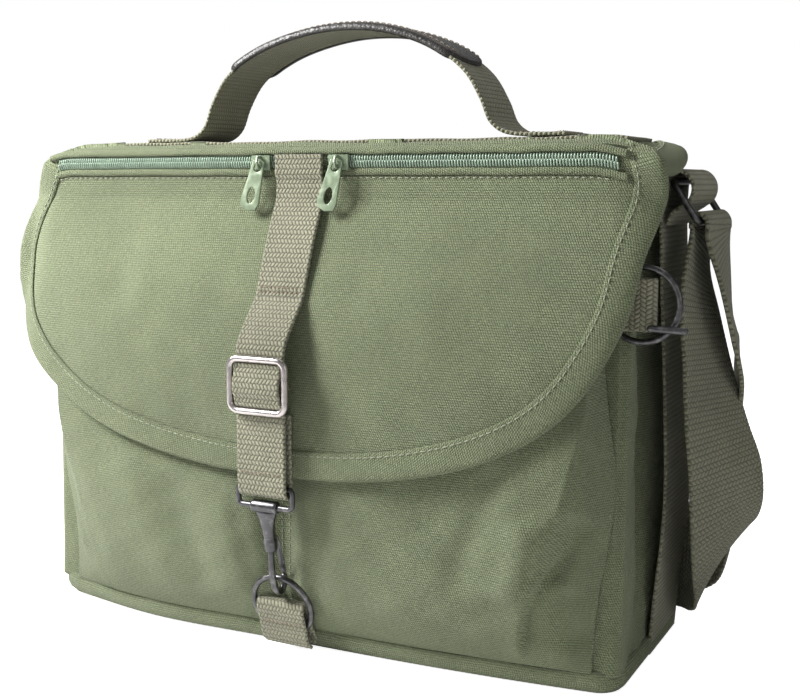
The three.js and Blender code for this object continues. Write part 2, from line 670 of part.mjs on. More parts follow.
// Slide buckle: rounded rectangle of wire in front of the strap, with its middle bar behind it.
function slideBuckle() {
  const front = FRONT_LAYER_Y - WEBBING / 2 - GAP - BUCKLE_WIRE;
  const behind = FRONT_LAYER_Y + WEBBING / 2 + GAP + 1.3;
  const frame = rectangularLoop(
    vec(0, front, BUCKLE_Z), vec(1, 0, 0), vec(0, 0, 1), BUCKLE_HALF_WIDTH, BUCKLE_HALF_HEIGHT, 4, BUCKLE_WIRE,
  );
  const bar = wire([
    vec(-BUCKLE_HALF_WIDTH, front, BUCKLE_Z), vec(-BUCKLE_HALF_WIDTH, behind, BUCKLE_Z),
    vec(BUCKLE_HALF_WIDTH, behind, BUCKLE_Z), vec(BUCKLE_HALF_WIDTH, front, BUCKLE_Z),
  ], vec(0, 0, 1), 1.3, 8);
  return union(frame, bar);
}

// Wire eye in the strap's fold: its lower bar carries the hook.
const EYE_Y = (FRONT_LAYER_Y + BACK_LAYER_Y) / 2;
const EYE_HALF_HEIGHT = 5;
const hookEye = () => rectangularLoop(
  vec(0, EYE_Y, EYE_Z - EYE_HALF_HEIGHT + 1.2), vec(1, 0, 0), vec(0, 0, 1), 15.9, EYE_HALF_HEIGHT, 2, HOOK_WIRE,
);
const BARREL_Z = EYE_Z - 2 * EYE_HALF_HEIGHT + 1.2;

// Hook and gate are drawn hanging from the barrel's axis, then leaned in towards the ring.
const hang = (geometry) => geometry.rotateX(HOOK_TILT).translate(0, EYE_Y, BARREL_Z);
function hookBody() {
  const barrel = cut(barX(3.1, 15, 0, 0, 0, 16), barX(HOOK_WIRE + 0.3, 17, 0, 0, 0, 16));
  const socket = sweep([
    { o: vec(0, 0, -2.4), a: vec(5.2, 0, 0), b: vec(0, 2.6, 0) },
    { o: vec(0, 0, -8), a: vec(4.2, 0, 0), b: vec(0, 2.9, 0) },
    { o: vec(0, 0, -18), a: vec(3.1, 0, 0), b: vec(0, 3.2, 0) },
    { o: vec(0, 0, -24), a: vec(3.0, 0, 0), b: vec(0, 3.2, 0) },
  ], circle(1, 10));
  const shank = wire(through([
    vec(0, 0, -22), vec(0, -1.6, -30), vec(0, -2.4, -38), vec(0, -1.2, -46), vec(0, 2.6, -49.6),
    vec(0, 6.4, -47.6), vec(0, 7.6, -43.4),
  ], 16), vec(1, 0, 0), 1.7, 8);
  return hang(union(barrel, socket, shank));
}
// Spring gate from the back of the socket down to the hook's tip.
const hookGate = () => hang(wire([
  vec(0, 5.2, -19.5), vec(0, 6.6, -30), vec(0, 7.6, -40.8),
], vec(1, 0, 0), 1.2, 8));

// The ring and its tab lean forwards with the front of the bag.
const ringUp = vec(0, -Math.sin(RING_LEAN), Math.cos(RING_LEAN));
const ringOut = vec(0, -Math.cos(RING_LEAN), -Math.sin(RING_LEAN));
const closureRing = () => ring(vec(...CLOSURE_RING), vec(1, 0, 0), ringUp, RING_RADIUS, RING_WIRE);

// Webbing tab sewn into the base seam, with the closure ring through its fold.
function closureTab() {
  const half = RING_WIRE + GAP + WEBBING / 2;
  const at = (up, out) => vec(...CLOSURE_RING).addScaledVector(ringUp, up).addScaledVector(ringOut, out);
  const path = [
    vec(0, -62.7, 3), vec(0, -63.6, 7.6), at(-12, -half), at(0, -half), at(1.8, -half * 0.75), at(2.6, 0),
    at(1.8, half * 0.75), at(0, half), at(-12, half), at(-19, half), vec(0, -67.4, 2.6),
  ];
  return ribbon(path, () => vec(1, 0, 0), STRAP_WIDTH, WEBBING);
}

// ---------------------------------------------------------------- shoulder strap

// Hand-set route: position, then the direction of the strap's width.
const STRAP_ROUTE = [
  [[-190.6, 28, 213], [0, 1, 0]], [[-193, 28, 180], [0, 1, 0]], [[-198, 28, 130], [0, 1, 0]],
  [[-201, 30, 88], [-0.2, 0.95, 0.1]], [[-200, 38, 58], [-0.4, 0.7, 0.55]], [[-190, 56, 40], [-0.3, 0.4, 0.85]],
  [[-170, 74, 31], [0, 0.1, 1]], [[-120, 81, 30], [0, 0, 1]], [[-20, 82, 30], [0, 0, 1]],
  [[70, 74, 30], [0, 0, 1]], [[110, 71.5, 30], [0, 0, 1]], [[146, 70.5, 31], [0, 0.05, 1]],
  [[171, 68, 33], [0.05, 0.12, 0.99]], [[188, 52, 38], [0.25, 0.35, 0.9]], [[198, 37, 47], [0.4, 0.5, 0.77]],
  [[203, 25, 60], [0.48, 0.66, 0.58]], [[205.5, 16, 78], [0.52, 0.8, 0.3]], [[204.5, 12.5, 100], [0.5, 0.86, 0.08]],
  [[200, 12.5, 120], [0.4, 0.92, 0]], [[193.2, 15.5, 152], [0.22, 0.97, 0]], [[187.5, 19, 182], [0.1, 1, 0]],
  [[185, 25, 205], [-0.04, 1, 0]], [[185.6, 28, 217], [0, 1, 0]], [[186.1, 28, 223.4], [0, 1, 0]],
  [[189.5, 28, 226.6], [0, 1, 0]], [[193, 28, 223.4], [0, 1, 0]], [[193.6, 28, 216], [0, 1, 0]],
  [[196, 31, 200], [-0.1, 0.99, 0]], [[199.5, 38, 172], [-0.2, 0.98, 0]], [[201, 51, 150], [-0.22, 0.97, 0]],
  [[199, 64, 132], [-0.24, 0.97, 0]], [[199, 70, 110], [-0.24, 0.97, 0.05]], [[197, 74, 84], [-0.2, 0.9, 0.3]],
  [[191, 80, 58], [-0.1, 0.66, 0.72]], [[178, 87, 40], [0, 0.3, 0.95]], [[157, 93.5, 32], [0, 0.03, 1]],
  [[136, 95.5, 30], [0, 0, 1]], [[112.5, 95, 30], [0, 0, 1]],
];
function shoulderStrap() {
  const positions = new THREE.CatmullRomCurve3(STRAP_ROUTE.map(([p]) => vec(...p)), false, 'centripetal');
  const widths = new THREE.CatmullRomCurve3(STRAP_ROUTE.map(([, w]) => vec(...w)), false, 'centripetal');
  const count = 100;
  const path = Array.from({ length: count + 1 }, (_, i) => positions.getPoint(i / count));
  return ribbon(path, (t) => widths.getPoint(t).normalize(), SIDE_WEB_WIDTH, WEBBING);
}
// Slide adjuster on the strap behind the bag: the strap's end is sewn round its middle bar.
const ADJUSTER_X = 108;
const strapAdjuster = () => rectangularLoop(
  vec(ADJUSTER_X, 84.2, 30.2), vec(0, 1, 0), vec(0, 0, 1), 7.2, 27.2, 2, 1.5,
);

// ---------------------------------------------------------------- assembly

const bag = new THREE.Group();
bag.name = 'messenger_bag';
function add(name, geometry, color, roughness, metalness = 0) {
  const mesh = new THREE.Mesh(geometry, new THREE.MeshStandardMaterial({ color, roughness, metalness }));
  mesh.name = name;
  bag.add(mesh);
}
const cloth = (name, geometry, color = CANVAS) => add(name, geometry, color, 0.9);
const webbing = (name, geometry) => add(name, geometry, WEB, 0.95);
const metal = (name, geometry, color = GUNMETAL) => add(name, geometry, color, 0.35, 1);

cloth('base_panel', basePanel());
add('base_board', baseBoard(), BOARD, 0.8);
cloth('front_panel', frontPanel());
cloth('back_panel', backPanel());
cloth('front_pocket', frontPocket(), CANVAS_LIGHT);
cloth('flap_top', flapTopPanel());
cloth('flap_front', flapFrontPanel(), CANVAS_LIGHT);
cloth('flap_lining', flapLining(), LINING);
cloth('flap_binding', flapBinding());
cloth('zip_welt', zipWelt());
for (const [tag, side] of [['left', -1], ['right', 1]]) {
  cloth(`gusset_${tag}`, gusset(side));
  cloth(`hood_binding_${tag}`, hoodBinding(side));
  webbing(`side_webbing_${tag}`, sideWebbing(side));
  webbing(`side_tab_${tag}`, sideTab(side));
  webbing(`handle_foot_${tag}`, handleFoot(side));
  metal(`strap_ring_${tag}`, strapRing(side));
  metal(`side_ring_${tag}`, sideRing(side));
  add(`zip_chain_${tag}`, zipChain(side), TEETH, 0.4, 0.3);
  add(`zip_slider_${tag}`, zipSlider(side), ZIP_PAINT, 0.4, 0.4);
  add(`zip_pull_${tag}`, zipPull(side), ZIP_PAINT, 0.4, 0.4);
}
metal('side_pin_right', sidePin());
webbing('handle_base', handleBase());
webbing('handle_loop', handleLoop());
add('handle_grip', handleGrip(), LEATHER, 0.6);
webbing('strap_sewn', strapSewn());
webbing('strap_free', strapFree());
metal('slide_buckle', slideBuckle(), NICKEL);
metal('hook_eye', hookEye());
metal('hook_body', hookBody());
metal('hook_gate', hookGate());
metal('closure_ring', closureRing());
webbing('closure_tab', closureTab());
webbing('shoulder_strap', shoulderStrap());
metal('strap_adjuster', strapAdjuster());

export default bag;
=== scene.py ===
from math import cos, pi, radians, sin

import bpy
import numpy as np
from mathutils import Matrix, Vector


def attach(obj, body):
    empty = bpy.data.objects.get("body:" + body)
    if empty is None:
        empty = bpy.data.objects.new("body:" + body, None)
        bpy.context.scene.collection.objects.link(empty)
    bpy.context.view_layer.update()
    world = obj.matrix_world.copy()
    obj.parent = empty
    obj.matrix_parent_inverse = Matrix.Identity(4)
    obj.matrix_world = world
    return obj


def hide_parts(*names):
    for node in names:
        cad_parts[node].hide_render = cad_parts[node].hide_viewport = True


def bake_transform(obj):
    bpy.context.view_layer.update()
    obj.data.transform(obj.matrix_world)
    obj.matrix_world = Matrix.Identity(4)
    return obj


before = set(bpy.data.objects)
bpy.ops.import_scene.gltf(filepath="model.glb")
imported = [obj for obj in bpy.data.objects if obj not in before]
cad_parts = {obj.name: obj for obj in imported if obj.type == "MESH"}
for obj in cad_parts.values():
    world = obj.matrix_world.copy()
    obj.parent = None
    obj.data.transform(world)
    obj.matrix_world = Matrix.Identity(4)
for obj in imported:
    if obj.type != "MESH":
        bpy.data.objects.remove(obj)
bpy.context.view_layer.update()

# Lengths here are in millimetres, and MM turns them to metres where a mesh is made.
MM = 0.001

# ---- shape of the bag, as in its CAD ----
GAP = 0.35
WALL = 3.0
CLOTH = 2.4
WEBBING = 1.8
BODY_HALF = 168
BODY_TOP = 247
BACK_TOP = 226
BACK_Y = 60
FRONT_CORNER_Y = -50
FRONT_LEAN = 8
FRONT_BOW = 11
BASE_RIM = 11
BASE_OUT = 2.6
BASE_CORNER = 13
GUSSET_OUT = 1.2
GUSSET_CORNER = 5
POCKET_HALF = 158
POCKET_TOP = 190
POCKET_BULGE = 22
LEFT_BULGE = 6
LEFT_BAY_X = -92
LEFT_BAY_WIDTH = 58
FLAP_HALF = 184
FLAP_FOLD_Z = 258
FLAP_FOLD_Y = -48
FLAP_FACE_Y = FLAP_FOLD_Y - 1.6
FLAP_STRAIGHT_Z = 233
FLAP_SHOULDER = 10
FLAP_TOP_HALF = FLAP_HALF - FLAP_SHOULDER
FLAP_LEAN = 6
FLAP_CURL = 6.5
CORNER_DROP = 7
FLAP_CORNER_Z = 212
FLAP_DROP = 114
FLAP_SWELL = 33
HOOD_DROOP = 8
HOOD_HALF = 176
HOOD_BACK_HALF = 165
HOOD_TAPE_END = 0.88
BINDING_WIDTH = 12
TOP_PROFILE = np.array([
    (-47.6, 258.6), (-44.8, 260.8), (-36, 261.4), (-12, 261.6), (15, 261.6),
    (37, 259.6), (50, 253.5), (58, 243), (60.3, 234), (60.5, 226.8),
])
HANDLE_WIDTH = 38
HANDLE_Y = 4
RUNNER_Z = 261.6
HANDLE_PATH = [
    (-92, 267.2), (-86, 272), (-80, 285), (-70, 299), (-50, 311), (-22, 319), (4, 321.5),
    (30, 319), (56, 310), (74, 297), (83, 283), (88, 272), (94, 267.2),
]
STRAP_WIDTH = 28
PICK = 2.5  # one row of a webbing's weave, along its length
TACK_STITCH = 1.9
TACK_OUT = WEBBING / 2 + 0.25
WIRE_LOOP_HALF = 15.9
STRAP_TOP_Z = 251.5
BAR_TACK_Z = 184
EYE_Z = 90
BACK_LAYER_Y = -85.7
FRONT_LAYER_Y = -91.1
EYE_Y = (BACK_LAYER_Y + FRONT_LAYER_Y) / 2
BARREL_Z = EYE_Z - 8.8
BUCKLE_Z = 143
BUCKLE_Y = FRONT_LAYER_Y - 2.85
HOOK_TILT = 0.21
CLOSURE_RING = np.array([0, -73.8, 25.3])
RING_LEAN = 0.28
RING_RADIUS = 17
RING_WIRE = 1.5
ZIP_Z = 251.9
WELT_Z = 256.6
ZIP_Y = FLAP_FACE_Y - GAP
ZIP_INNER_X = 15.5
ZIP_END_X = 164
TOOTH_PITCH = 1.5
SLIDER_X = 23
PULL_LEAN = 13
SLIDER_BACK_Y = ZIP_Y - 1.4 - GAP
PULL_AXIS = np.array([0, SLIDER_BACK_Y - 2.95, ZIP_Z - 0.2])
SIDE_WEB_WIDTH = 50
SIDE_WEB_Y = 28
TAB_Z = 187
TAB_WIDTH = 24
TAB_FOLD_X = 183.5
SIDE_RING_X = 177.5
SIDE_RING_Y = -48.6
PIN_START_X = 183
PIN_END_X = 200
PIN_DROP = 10
PIN_RADIUS = 1.7
STRAP_RING_TOP = np.array([176.5, 242])
STRAP_RING_LOW = np.array([189.5, 222.5])
STRAP_RING_HALF = 27.6
STRAP_RING_WIRE = 1.7
ADJUSTER = np.array([108, 84.2, 30.2])

# The shoulder strap's route: x, y and z, then the direction of its width.
STRAP_ROUTE = [
    (-188.6, 28, 192, 0, 1, 0), (-187, 28, 206, 0, 1, 0), (-186, 28, 217, 0, 1, 0),
    (-186.1, 28, 223.4, 0, 1, 0), (-189.5, 28, 226.6, 0, 1, 0), (-193, 28, 223.4, 0, 1, 0),
    (-192.6, 28, 212, 0, 1, 0), (-194, 28, 180, 0, 1, 0), (-198, 28, 130, 0, 1, 0),
    (-201, 30, 88, -0.2, 0.95, 0.1), (-200, 38, 58, -0.4, 0.7, 0.55), (-190, 56, 40, -0.3, 0.4, 0.85),
    (-170, 74, 31, 0, 0.1, 1), (-120, 81, 30, 0, 0, 1), (-20, 82, 30, 0, 0, 1), (70, 74, 30, 0, 0, 1),
    (110, 71.5, 30, 0, 0, 1), (146, 70.5, 31, 0, 0.05, 1), (171, 68, 33, 0.05, 0.12, 0.99),
    (188, 52, 38, 0.25, 0.35, 0.9), (198, 37, 47, 0.4, 0.5, 0.77), (203, 25, 60, 0.48, 0.66, 0.58),
    (205.5, 16, 78, 0.52, 0.8, 0.3), (204.5, 12.5, 100, 0.5, 0.86, 0.08),
    (200, 12.5, 120, 0.4, 0.92, 0), (193.2, 15.5, 152, 0.22, 0.97, 0), (187.5, 19, 182, 0.1, 1, 0),
    (185, 25, 205, -0.04, 1, 0), (185.6, 28, 217, 0, 1, 0), (186.1, 28, 223.4, 0, 1, 0),
    (189.5, 28, 226.6, 0, 1, 0), (193, 28, 223.4, 0, 1, 0), (193.6, 28, 216, 0, 1, 0),
    (196, 31, 200, -0.1, 0.99, 0), (199.5, 38, 172, -0.2, 0.98, 0), (201, 51, 150, -0.22, 0.97, 0),
    (199, 64, 132, -0.24, 0.97, 0), (199, 70, 110, -0.24, 0.97, 0.05), (197, 74, 84, -0.2, 0.9, 0.3),
    (191, 80, 58, -0.1, 0.66, 0.72), (178, 87, 40, 0, 0.3, 0.95), (157, 93.5, 32, 0, 0.03, 1),
    (136, 95.5, 30, 0, 0, 1), (112.5, 95, 30, 0, 0, 1),
]

# ---- camera and light ----
CAMERA_PLACE = (0.3251, -0.5752, 0.2417)
CAMERA_YAW = 27.14
CAMERA_DIP = 7.99
CAMERA_LENS = 53.94
AMBIENT = 0.12
FLOOR_GLOW = 0.90


# ---- number helpers ----

def clamp01(t):
    return np.clip(t, 0, 1)


def lerp(a, b, t):
    return a + (b - a) * t


def smooth(t):
    t = clamp01(t)
    return t * t * (3 - 2 * t)


def unit(v):
    v = np.asarray(v, dtype=float)
    return v / np.maximum(np.linalg.norm(v, axis=-1, keepdims=True), 1e-9)


def ripple(a, b, size, seed):
    """Smooth, repeatable unevenness between about -1 and 1, with waves about size mm long."""
    total = 0
    for k in range(6):
        angle = 2.4 * k + seed
        rate = 2 * pi / (size * (0.62 + 0.21 * k))
        total = total + np.sin((a * cos(angle) + b * sin(angle)) * rate + 1.7 * seed * (k + 1))
    return total / 3.2


def bell(t):
    """1 where t is 0, falling smoothly away to both sides."""
    return np.exp(-(t ** 2))


def xyz(x, y, z):
    """Points from their coordinates, any of which may be one value for all of them."""
    return np.stack(np.broadcast_arrays(x, y, z), axis=-1)


def within(t, rate):
    """1 through the middle of 0 to 1, fading to 0 at both ends."""
    return smooth(t * rate) * smooth((1 - t) * rate)


def unit_grid(columns, rows):
    return np.meshgrid(np.linspace(0, 1, columns), np.linspace(0, 1, rows))


def crease(x, z, start, end, width):
    """1 along the line from start to end, falling away over width to its sides and past its ends."""
    (x0, z0), (x1, z1) = start, end
    along = np.array([x1 - x0, z1 - z0])
    t = clamp01(((x - x0) * along[0] + (z - z0) * along[1]) / along.dot(along))
    away = np.hypot(x - x0 - t * along[0], z - z0 - t * along[1])
    return bell(away / width) * within(t, 4)


def creases(x, z, table):
    """Several creases together, each given as its height, start, end and width."""
    return sum(height * crease(x, z, start, end, width) for height, start, end, width in table)


def through(points, count):
    """Evenly spaced points on a smooth curve through given ones (centripetal, as in the CAD)."""
    return respace(catmull(np.asarray(points, dtype=float), 24), count)


def catmull(points, steps):
    """A centripetal Catmull-Rom curve through the first three columns; any more columns go along."""
    before = 2 * points[0] - points[1]
    after = 2 * points[-1] - points[-2]
    p = np.vstack([before, points, after])
    found = []
    for k in range(1, len(p) - 2):
        window = p[k - 1:k + 3]
        gaps = np.linalg.norm(np.diff(window[:, :3], axis=0), axis=1) ** 0.5
        knots = np.concatenate([[0], np.cumsum(np.maximum(gaps, 1e-4))])
        t = np.linspace(knots[1], knots[2], steps, endpoint=False)[:, None]
        level = window
        for spans in (((0, 1), (1, 2), (2, 3)), ((0, 2), (1, 3)), ((1, 2),)):
            shares = [(t - knots[a]) / (knots[b] - knots[a]) for a, b in spans]
            level = [(1 - s) * level[i] + s * level[i + 1] for i, s in enumerate(shares)]
        found.append(level[0])
    found.append(p[-2][None, :])
    return np.vstack(found)


def travelled(path):
    return np.concatenate([[0], np.cumsum(np.linalg.norm(np.diff(path[:, :3], axis=0), axis=1))])


def respace(path, count):
    distance = travelled(path)
    wanted = np.linspace(0, distance[-1], count + 1)
    return np.stack([np.interp(wanted, distance, path[:, k]) for k in range(path.shape[1])], axis=1)


def tangents(path, closed=False):
    if closed:
        return unit(np.roll(path, -1, axis=0) - np.roll(path, 1, axis=0))
    return unit(np.gradient(path, axis=0))


# ---- mesh helpers ----

def new_object(name, points, faces, grain=None):
    """A smooth-shaded mesh object from points in mm. grain holds each point's place in the cloth, in mm."""
    mesh = bpy.data.meshes.new(name)
    mesh.from_pydata((np.asarray(points) * MM).tolist(), [], [list(f) for f in faces])
    if grain is not None:
        layer = mesh.attributes.new("grain", "FLOAT_VECTOR", "POINT")
        flat = np.zeros((len(points), 3))
        flat[:, :grain.shape[1]] = grain
        layer.data.foreach_set("vector", flat.ravel())
    mesh.shade_smooth()
    made = bpy.data.objects.new(name, mesh)
    bpy.context.scene.collection.objects.link(made)
    return made


def join_parts(parts):
    """Several (points, faces, grain) bodies as one."""
    points, faces, grain = [], [], []
    start = 0
    for p, f, g in parts:
        points.append(p)
        grain.append(g)
        faces.extend([[start + i for i in face] for face in f])
        start += len(p)
    return np.vstack(points), faces, np.vstack(grain)


def grid_faces(rows, columns, start=0, flip=False, closed=False):
    """Quads of a grid of rows x columns points; closed joins the last column to the first."""
    j, i = np.meshgrid(np.arange(rows - 1), np.arange(columns if closed else columns - 1), indexing="ij")
    a = start + j * columns + i
    b = start + j * columns + (i + 1) % columns
    quads = np.stack([a, b, b + columns, a + columns], axis=-1).reshape(-1, 4)
    return quads[:, ::-1] if flip else quads


def cloth_body(p, normal, thickness, grain):
    """A closed layer of cloth: p is its outer face as a grid, and normal points out of that face."""
    rows, columns = p.shape[:2]
    inner = p - normal * thickness
    points = [p.reshape(-1, 3), inner.reshape(-1, 3)]
    count = rows * columns
    middle_row, middle = rows // 2, columns // 2
    across = p[middle_row, middle + 1] - p[middle_row, middle]
    up = p[middle_row + 1, middle] - p[middle_row, middle]
    facing = np.cross(across, up).dot(normal[middle_row, middle]) > 0
    faces = [grid_faces(rows, columns, 0, flip=not facing), grid_faces(rows, columns, count, flip=facing)]
    index = np.arange(count).reshape(rows, columns)
    rim = np.concatenate([index[0, :-1], index[:-1, -1], index[-1, :0:-1], index[:0:-1, 0]])
    # the edge is rounded by one more ring, pushed outwards
    flat = p.reshape(-1, 3)
    j, i = rim // columns, rim % columns
    inward = index[np.clip(j, 1, rows - 2), np.clip(i, 1, columns - 2)]
    push = unit(flat[rim] - flat[inward]) * thickness * 0.4
    ring = (flat[rim] + inner.reshape(-1, 3)[rim]) / 2 + push
    points.append(ring)
    n = len(rim)
    following = (np.arange(n) + 1) % n
    mid = 2 * count + np.arange(n)
    one = np.stack([rim, mid, mid[following], rim[following]], axis=-1)
    two = np.stack([mid, count + rim, count + rim[following], mid[following]], axis=-1)
    for quads in (one, two):
        faces.append(quads if facing else quads[:, ::-1])
    g = grain.reshape(-1, 2)
    return np.vstack(points), np.vstack(faces), np.vstack([g, g, g[rim]])


def cloth(name, p, normal, thickness, grain=None):
    if grain is None:
        rows, columns = p.shape[:2]
        across = travelled(p[rows // 2])
        up = travelled(p[:, columns // 2])
        grain = np.stack(np.meshgrid(across, up), axis=-1)
    return new_object(name, *cloth_body(p, normal, thickness, grain))


def grid_normal(p, towards):
    """Normals of a grid of points, on the side of the direction towards."""
    n = unit(np.cross(np.gradient(p, axis=1), np.gradient(p, axis=0)))
    return np.where((n @ np.asarray(towards, dtype=float))[..., None] < 0, -n, n)


def height_normal(height, x, z):
    """Normal of the face y = height(x, z), pointing to the front."""
    step = 0.4
    slope_x = (height(x + step, z) - height(x - step, z)) / (2 * step)
    slope_z = (height(x, z + step) - height(x, z - step)) / (2 * step)
    return unit(np.stack([slope_x, -np.ones_like(slope_x), slope_z], axis=-1))


def skin(rings, closed=False):
    """Points and faces over a row of rings, capped at its ends unless it closes on itself."""
    steps, n = rings.shape[:2]
    points = rings.reshape(-1, 3)
    quads = grid_faces(steps, n, closed=True)
    if closed:
        last = (steps - 1) * n + np.arange(n)
        turn = (np.arange(n) + 1) % n
        quads = np.vstack([quads, np.stack([last, last[turn], turn, np.arange(n)], axis=-1)])
    faces = quads.tolist()
    if not closed:
        faces.append(list(range(n))[::-1])
        faces.append(list(range((steps - 1) * n, steps * n)))
    if signed_volume(points, quads) < 0:
        faces = [face[::-1] for face in faces]
    return points, faces


def sweep_body(path, a, b, profile, closed=False):
    """A closed profile (p, q), one or one for each step, carried along a path: path + p*a + q*b."""
    profile = np.asarray(profile, dtype=float)
    if profile.ndim == 2:
        profile = np.broadcast_to(profile, (len(path),) + profile.shape)
    a, b = np.broadcast_to(a, path.shape), np.broadcast_to(b, path.shape)
    rings = path[:, None] + profile[..., :1] * a[:, None] + profile[..., 1:] * b[:, None]
    points, faces = skin(rings, closed)
    around = travelled(np.vstack([profile[0], profile[0][:1]]) @ np.eye(2, 3))[:-1]
    along = travelled(path)
    grain = np.stack(np.broadcast_arrays(around[None, :], along[:, None]), axis=-1).reshape(-1, 2)
    return points, faces, grain


def signed_volume(points, quads):
    centre = points.mean(axis=0)
    a, b, c, d = (points[quads[:, k]] - centre for k in range(4))
    return (np.einsum("ij,ij->i", a, np.cross(b, c)) + np.einsum("ij,ij->i", a, np.cross(c, d))).sum()


def circle(radius, sides):
    angle = 2 * pi * np.arange(sides) / sides
    return np.stack([np.cos(angle), np.sin(angle)], axis=1) * radius


def carried_side(path, closed=False):
    """A side direction carried along a path without twisting."""
    t = tangents(path, closed)
    start = np.array([1.0, 0, 0]) if abs(t[0, 0]) < 0.8 else np.array([0, 0, 1.0])
    side = [unit(start - t[0] * start.dot(t[0]))]
    for k in range(1, len(path)):
        side.append(unit(side[-1] - t[k] * side[-1].dot(t[k])))
    return np.array(side), t


def wire_body(path, radius, sides=14, closed=False):
    """A round bar along a path. Its open ends are domed."""
    path = np.asarray(path, dtype=float)
    radius = np.broadcast_to(np.asarray(radius, dtype=float), (len(path),)).copy()
    if not closed:
        t = tangents(path)
        angles = np.linspace(0, pi / 2, 5)[1:]
        first = np.array([path[0] - t[0] * radius[0] * sin(a) for a in angles[::-1]])
        last = np.array([path[-1] + t[-1] * radius[-1] * sin(a) for a in angles])
        first_r = [max(radius[0] * cos(a), radius[0] * 0.04) for a in angles[::-1]]
        last_r = [max(radius[-1] * cos(a), radius[-1] * 0.04) for a in angles]
        path = np.vstack([first, path, last])
        radius = np.concatenate([first_r, radius, last_r])
    side, t = carried_side(path, closed)
    b = np.cross(t, side)
    return sweep_body(path, side, b, circle(1, sides)[None] * radius[:, None, None], closed)


def loop_path(centre, a, b, half_width, half_height, corner, per_corner=8):
    """Rounded rectangle in the plane of the unit vectors a and b."""
    found = []
    for quarter, (sx, sz) in enumerate([(1, 1), (-1, 1), (-1, -1), (1, -1)]):
        for k in range(per_corner + 1):
            angle = (quarter + k / per_corner) * pi / 2
            x = sx * (half_width - corner) + corner * cos(angle)
            z = sz * (half_height - corner) + corner * sin(angle)
            found.append(centre + a * x + b * z)
    return respace(np.vstack([found, found[:1]]), 120)[:-1]


def ring_path(centre, a, b, radius, count=72):
    angle = 2 * pi * np.arange(count) / count
    return centre + radius * (np.cos(angle)[:, None] * a + np.sin(angle)[:, None] * b)


X = np.array([1.0, 0, 0])
Y = np.array([0, 1.0, 0])
Z = np.array([0, 0, 1.0])


def webbing_profile(width, thickness):
    """Section of a woven band: flat, with fuller round edges."""
    half, t = width / 2, thickness / 2
    edge = np.array([(half - 1.6, t * 0.92), (half - 0.8, t * 1.08), (half - 0.15, t * 0.7), (half, 0)])
    flat = np.column_stack([np.linspace(-half + 4, half - 4, 9), np.full(9, t)])
    upper = np.vstack([(edge * (-1, 1))[-2::-1], flat, edge])
    return np.vstack([upper, -upper])
def webbing_body(path, width_way, width, thickness):
    """Woven band along a path, its edges nubbly where each row of the weave turns back."""
    path = np.asarray(path, dtype=float)
    t = tangents(path)
    a = unit(width_way - t * np.einsum("ij,ij->i", width_way, t)[:, None])
    b = np.cross(t, a)
    profile = webbing_profile(width, thickness)
    along = travelled(path)
    nub = 0.16 * np.sin(2 * pi * along / PICK) + 0.08 * np.sin(along * 0.9) * np.sin(along * 2.3)
    edge = clamp01((np.abs(profile[:, 0]) - width / 2 + 2) / 2)
    wide = profile[None, :, 0] + nub[:, None] * edge * np.sign(profile[:, 0])
    sections = np.stack(np.broadcast_arrays(wide, profile[None, :, 1]), axis=-1)
    points, faces, grain = sweep_body(path, a, b, sections)
    across = np.broadcast_to(profile[None, :, 0], (len(path), len(profile)))
    grain = np.stack([across.ravel(), np.repeat(along, len(profile))], axis=1)
    return points, faces, grain


def webbing(name, path, width_way, width=STRAP_WIDTH, thickness=WEBBING, pitch=0.55):
    path = np.asarray(path, dtype=float)
    count = max(12, int(travelled(path)[-1] / pitch))
    together = respace(np.hstack([path, np.broadcast_to(width_way, path.shape)]), count)
    return new_object(name, *webbing_body(together[:, :3], together[:, 3:], width, thickness))


def stitch_body(path, out, length=2.5, space=1.3, radius=0.27, rise=0.28):
    """A row of thread stitches lying on a surface whose outward direction along the path is out."""
    path = np.asarray(path, dtype=float)
    out = np.broadcast_to(out, path.shape)
    distance = travelled(path)
    parts = []
    steps = np.array([0, 0.14, 0.5, 0.86, 1])
    lift = np.array([-0.35, 0.5, 1, 0.5, -0.35]) * rise
    begin = space
    while begin + length < distance[-1]:
        at = begin + steps * length
        p = np.stack([np.interp(at, distance, path[:, k]) for k in range(3)], axis=1)
        n = unit(np.stack([np.interp(at, distance, out[:, k]) for k in range(3)], axis=1))
        t = tangents(p)
        side = unit(np.cross(n, t))
        parts.append(sweep_body(p + n * lift[:, None], side, n, circle(radius, 6)))
        begin += length + space
    return join_parts(parts)


# ---- shape of the bag ----

FLAP_CREASES = [
    (1.6, (-112, 228), (-104, 170), 9), (-1.2, (-92, 226), (-88, 160), 8),
    (1.3, (84, 196), (126, 148), 12), (1.0, (-60, 150), (-40, 108), 10),
]
# soft folds that run in to the pocket's corners and down from under the flap
POCKET_CREASES = [
    (6.5, (158, 92), (137, 52), 6), (-3.4, (136, 92), (122, 40), 9), (3.0, (146, 56), (150, 18), 7),
    (-2.6, (-158, 100), (-134, 22), 6), (2.0, (-146, 96), (-118, 20), 9), (2.6, (122, 120), (92, 40), 8),
    (-2.2, (158, 120), (150, 20), 6), (2.2, (-70, 96), (-44, 20), 11), (-1.6, (-98, 100), (-70, 24), 12),
    (1.4, (-26, 90), (-14, 18), 6), (1.4, (30, 90), (16, 18), 6),
]


def body_front_y(x, z):
    t = z / BODY_TOP
    return FRONT_CORNER_Y + FRONT_LEAN * t - FRONT_BOW * (1 - (x / BODY_HALF) ** 2) * (1 - t)


def left_swell(x):
    """How far the left bay stands out further at the bottom."""
    return LEFT_BULGE * bell((x - LEFT_BAY_X) / LEFT_BAY_WIDTH)


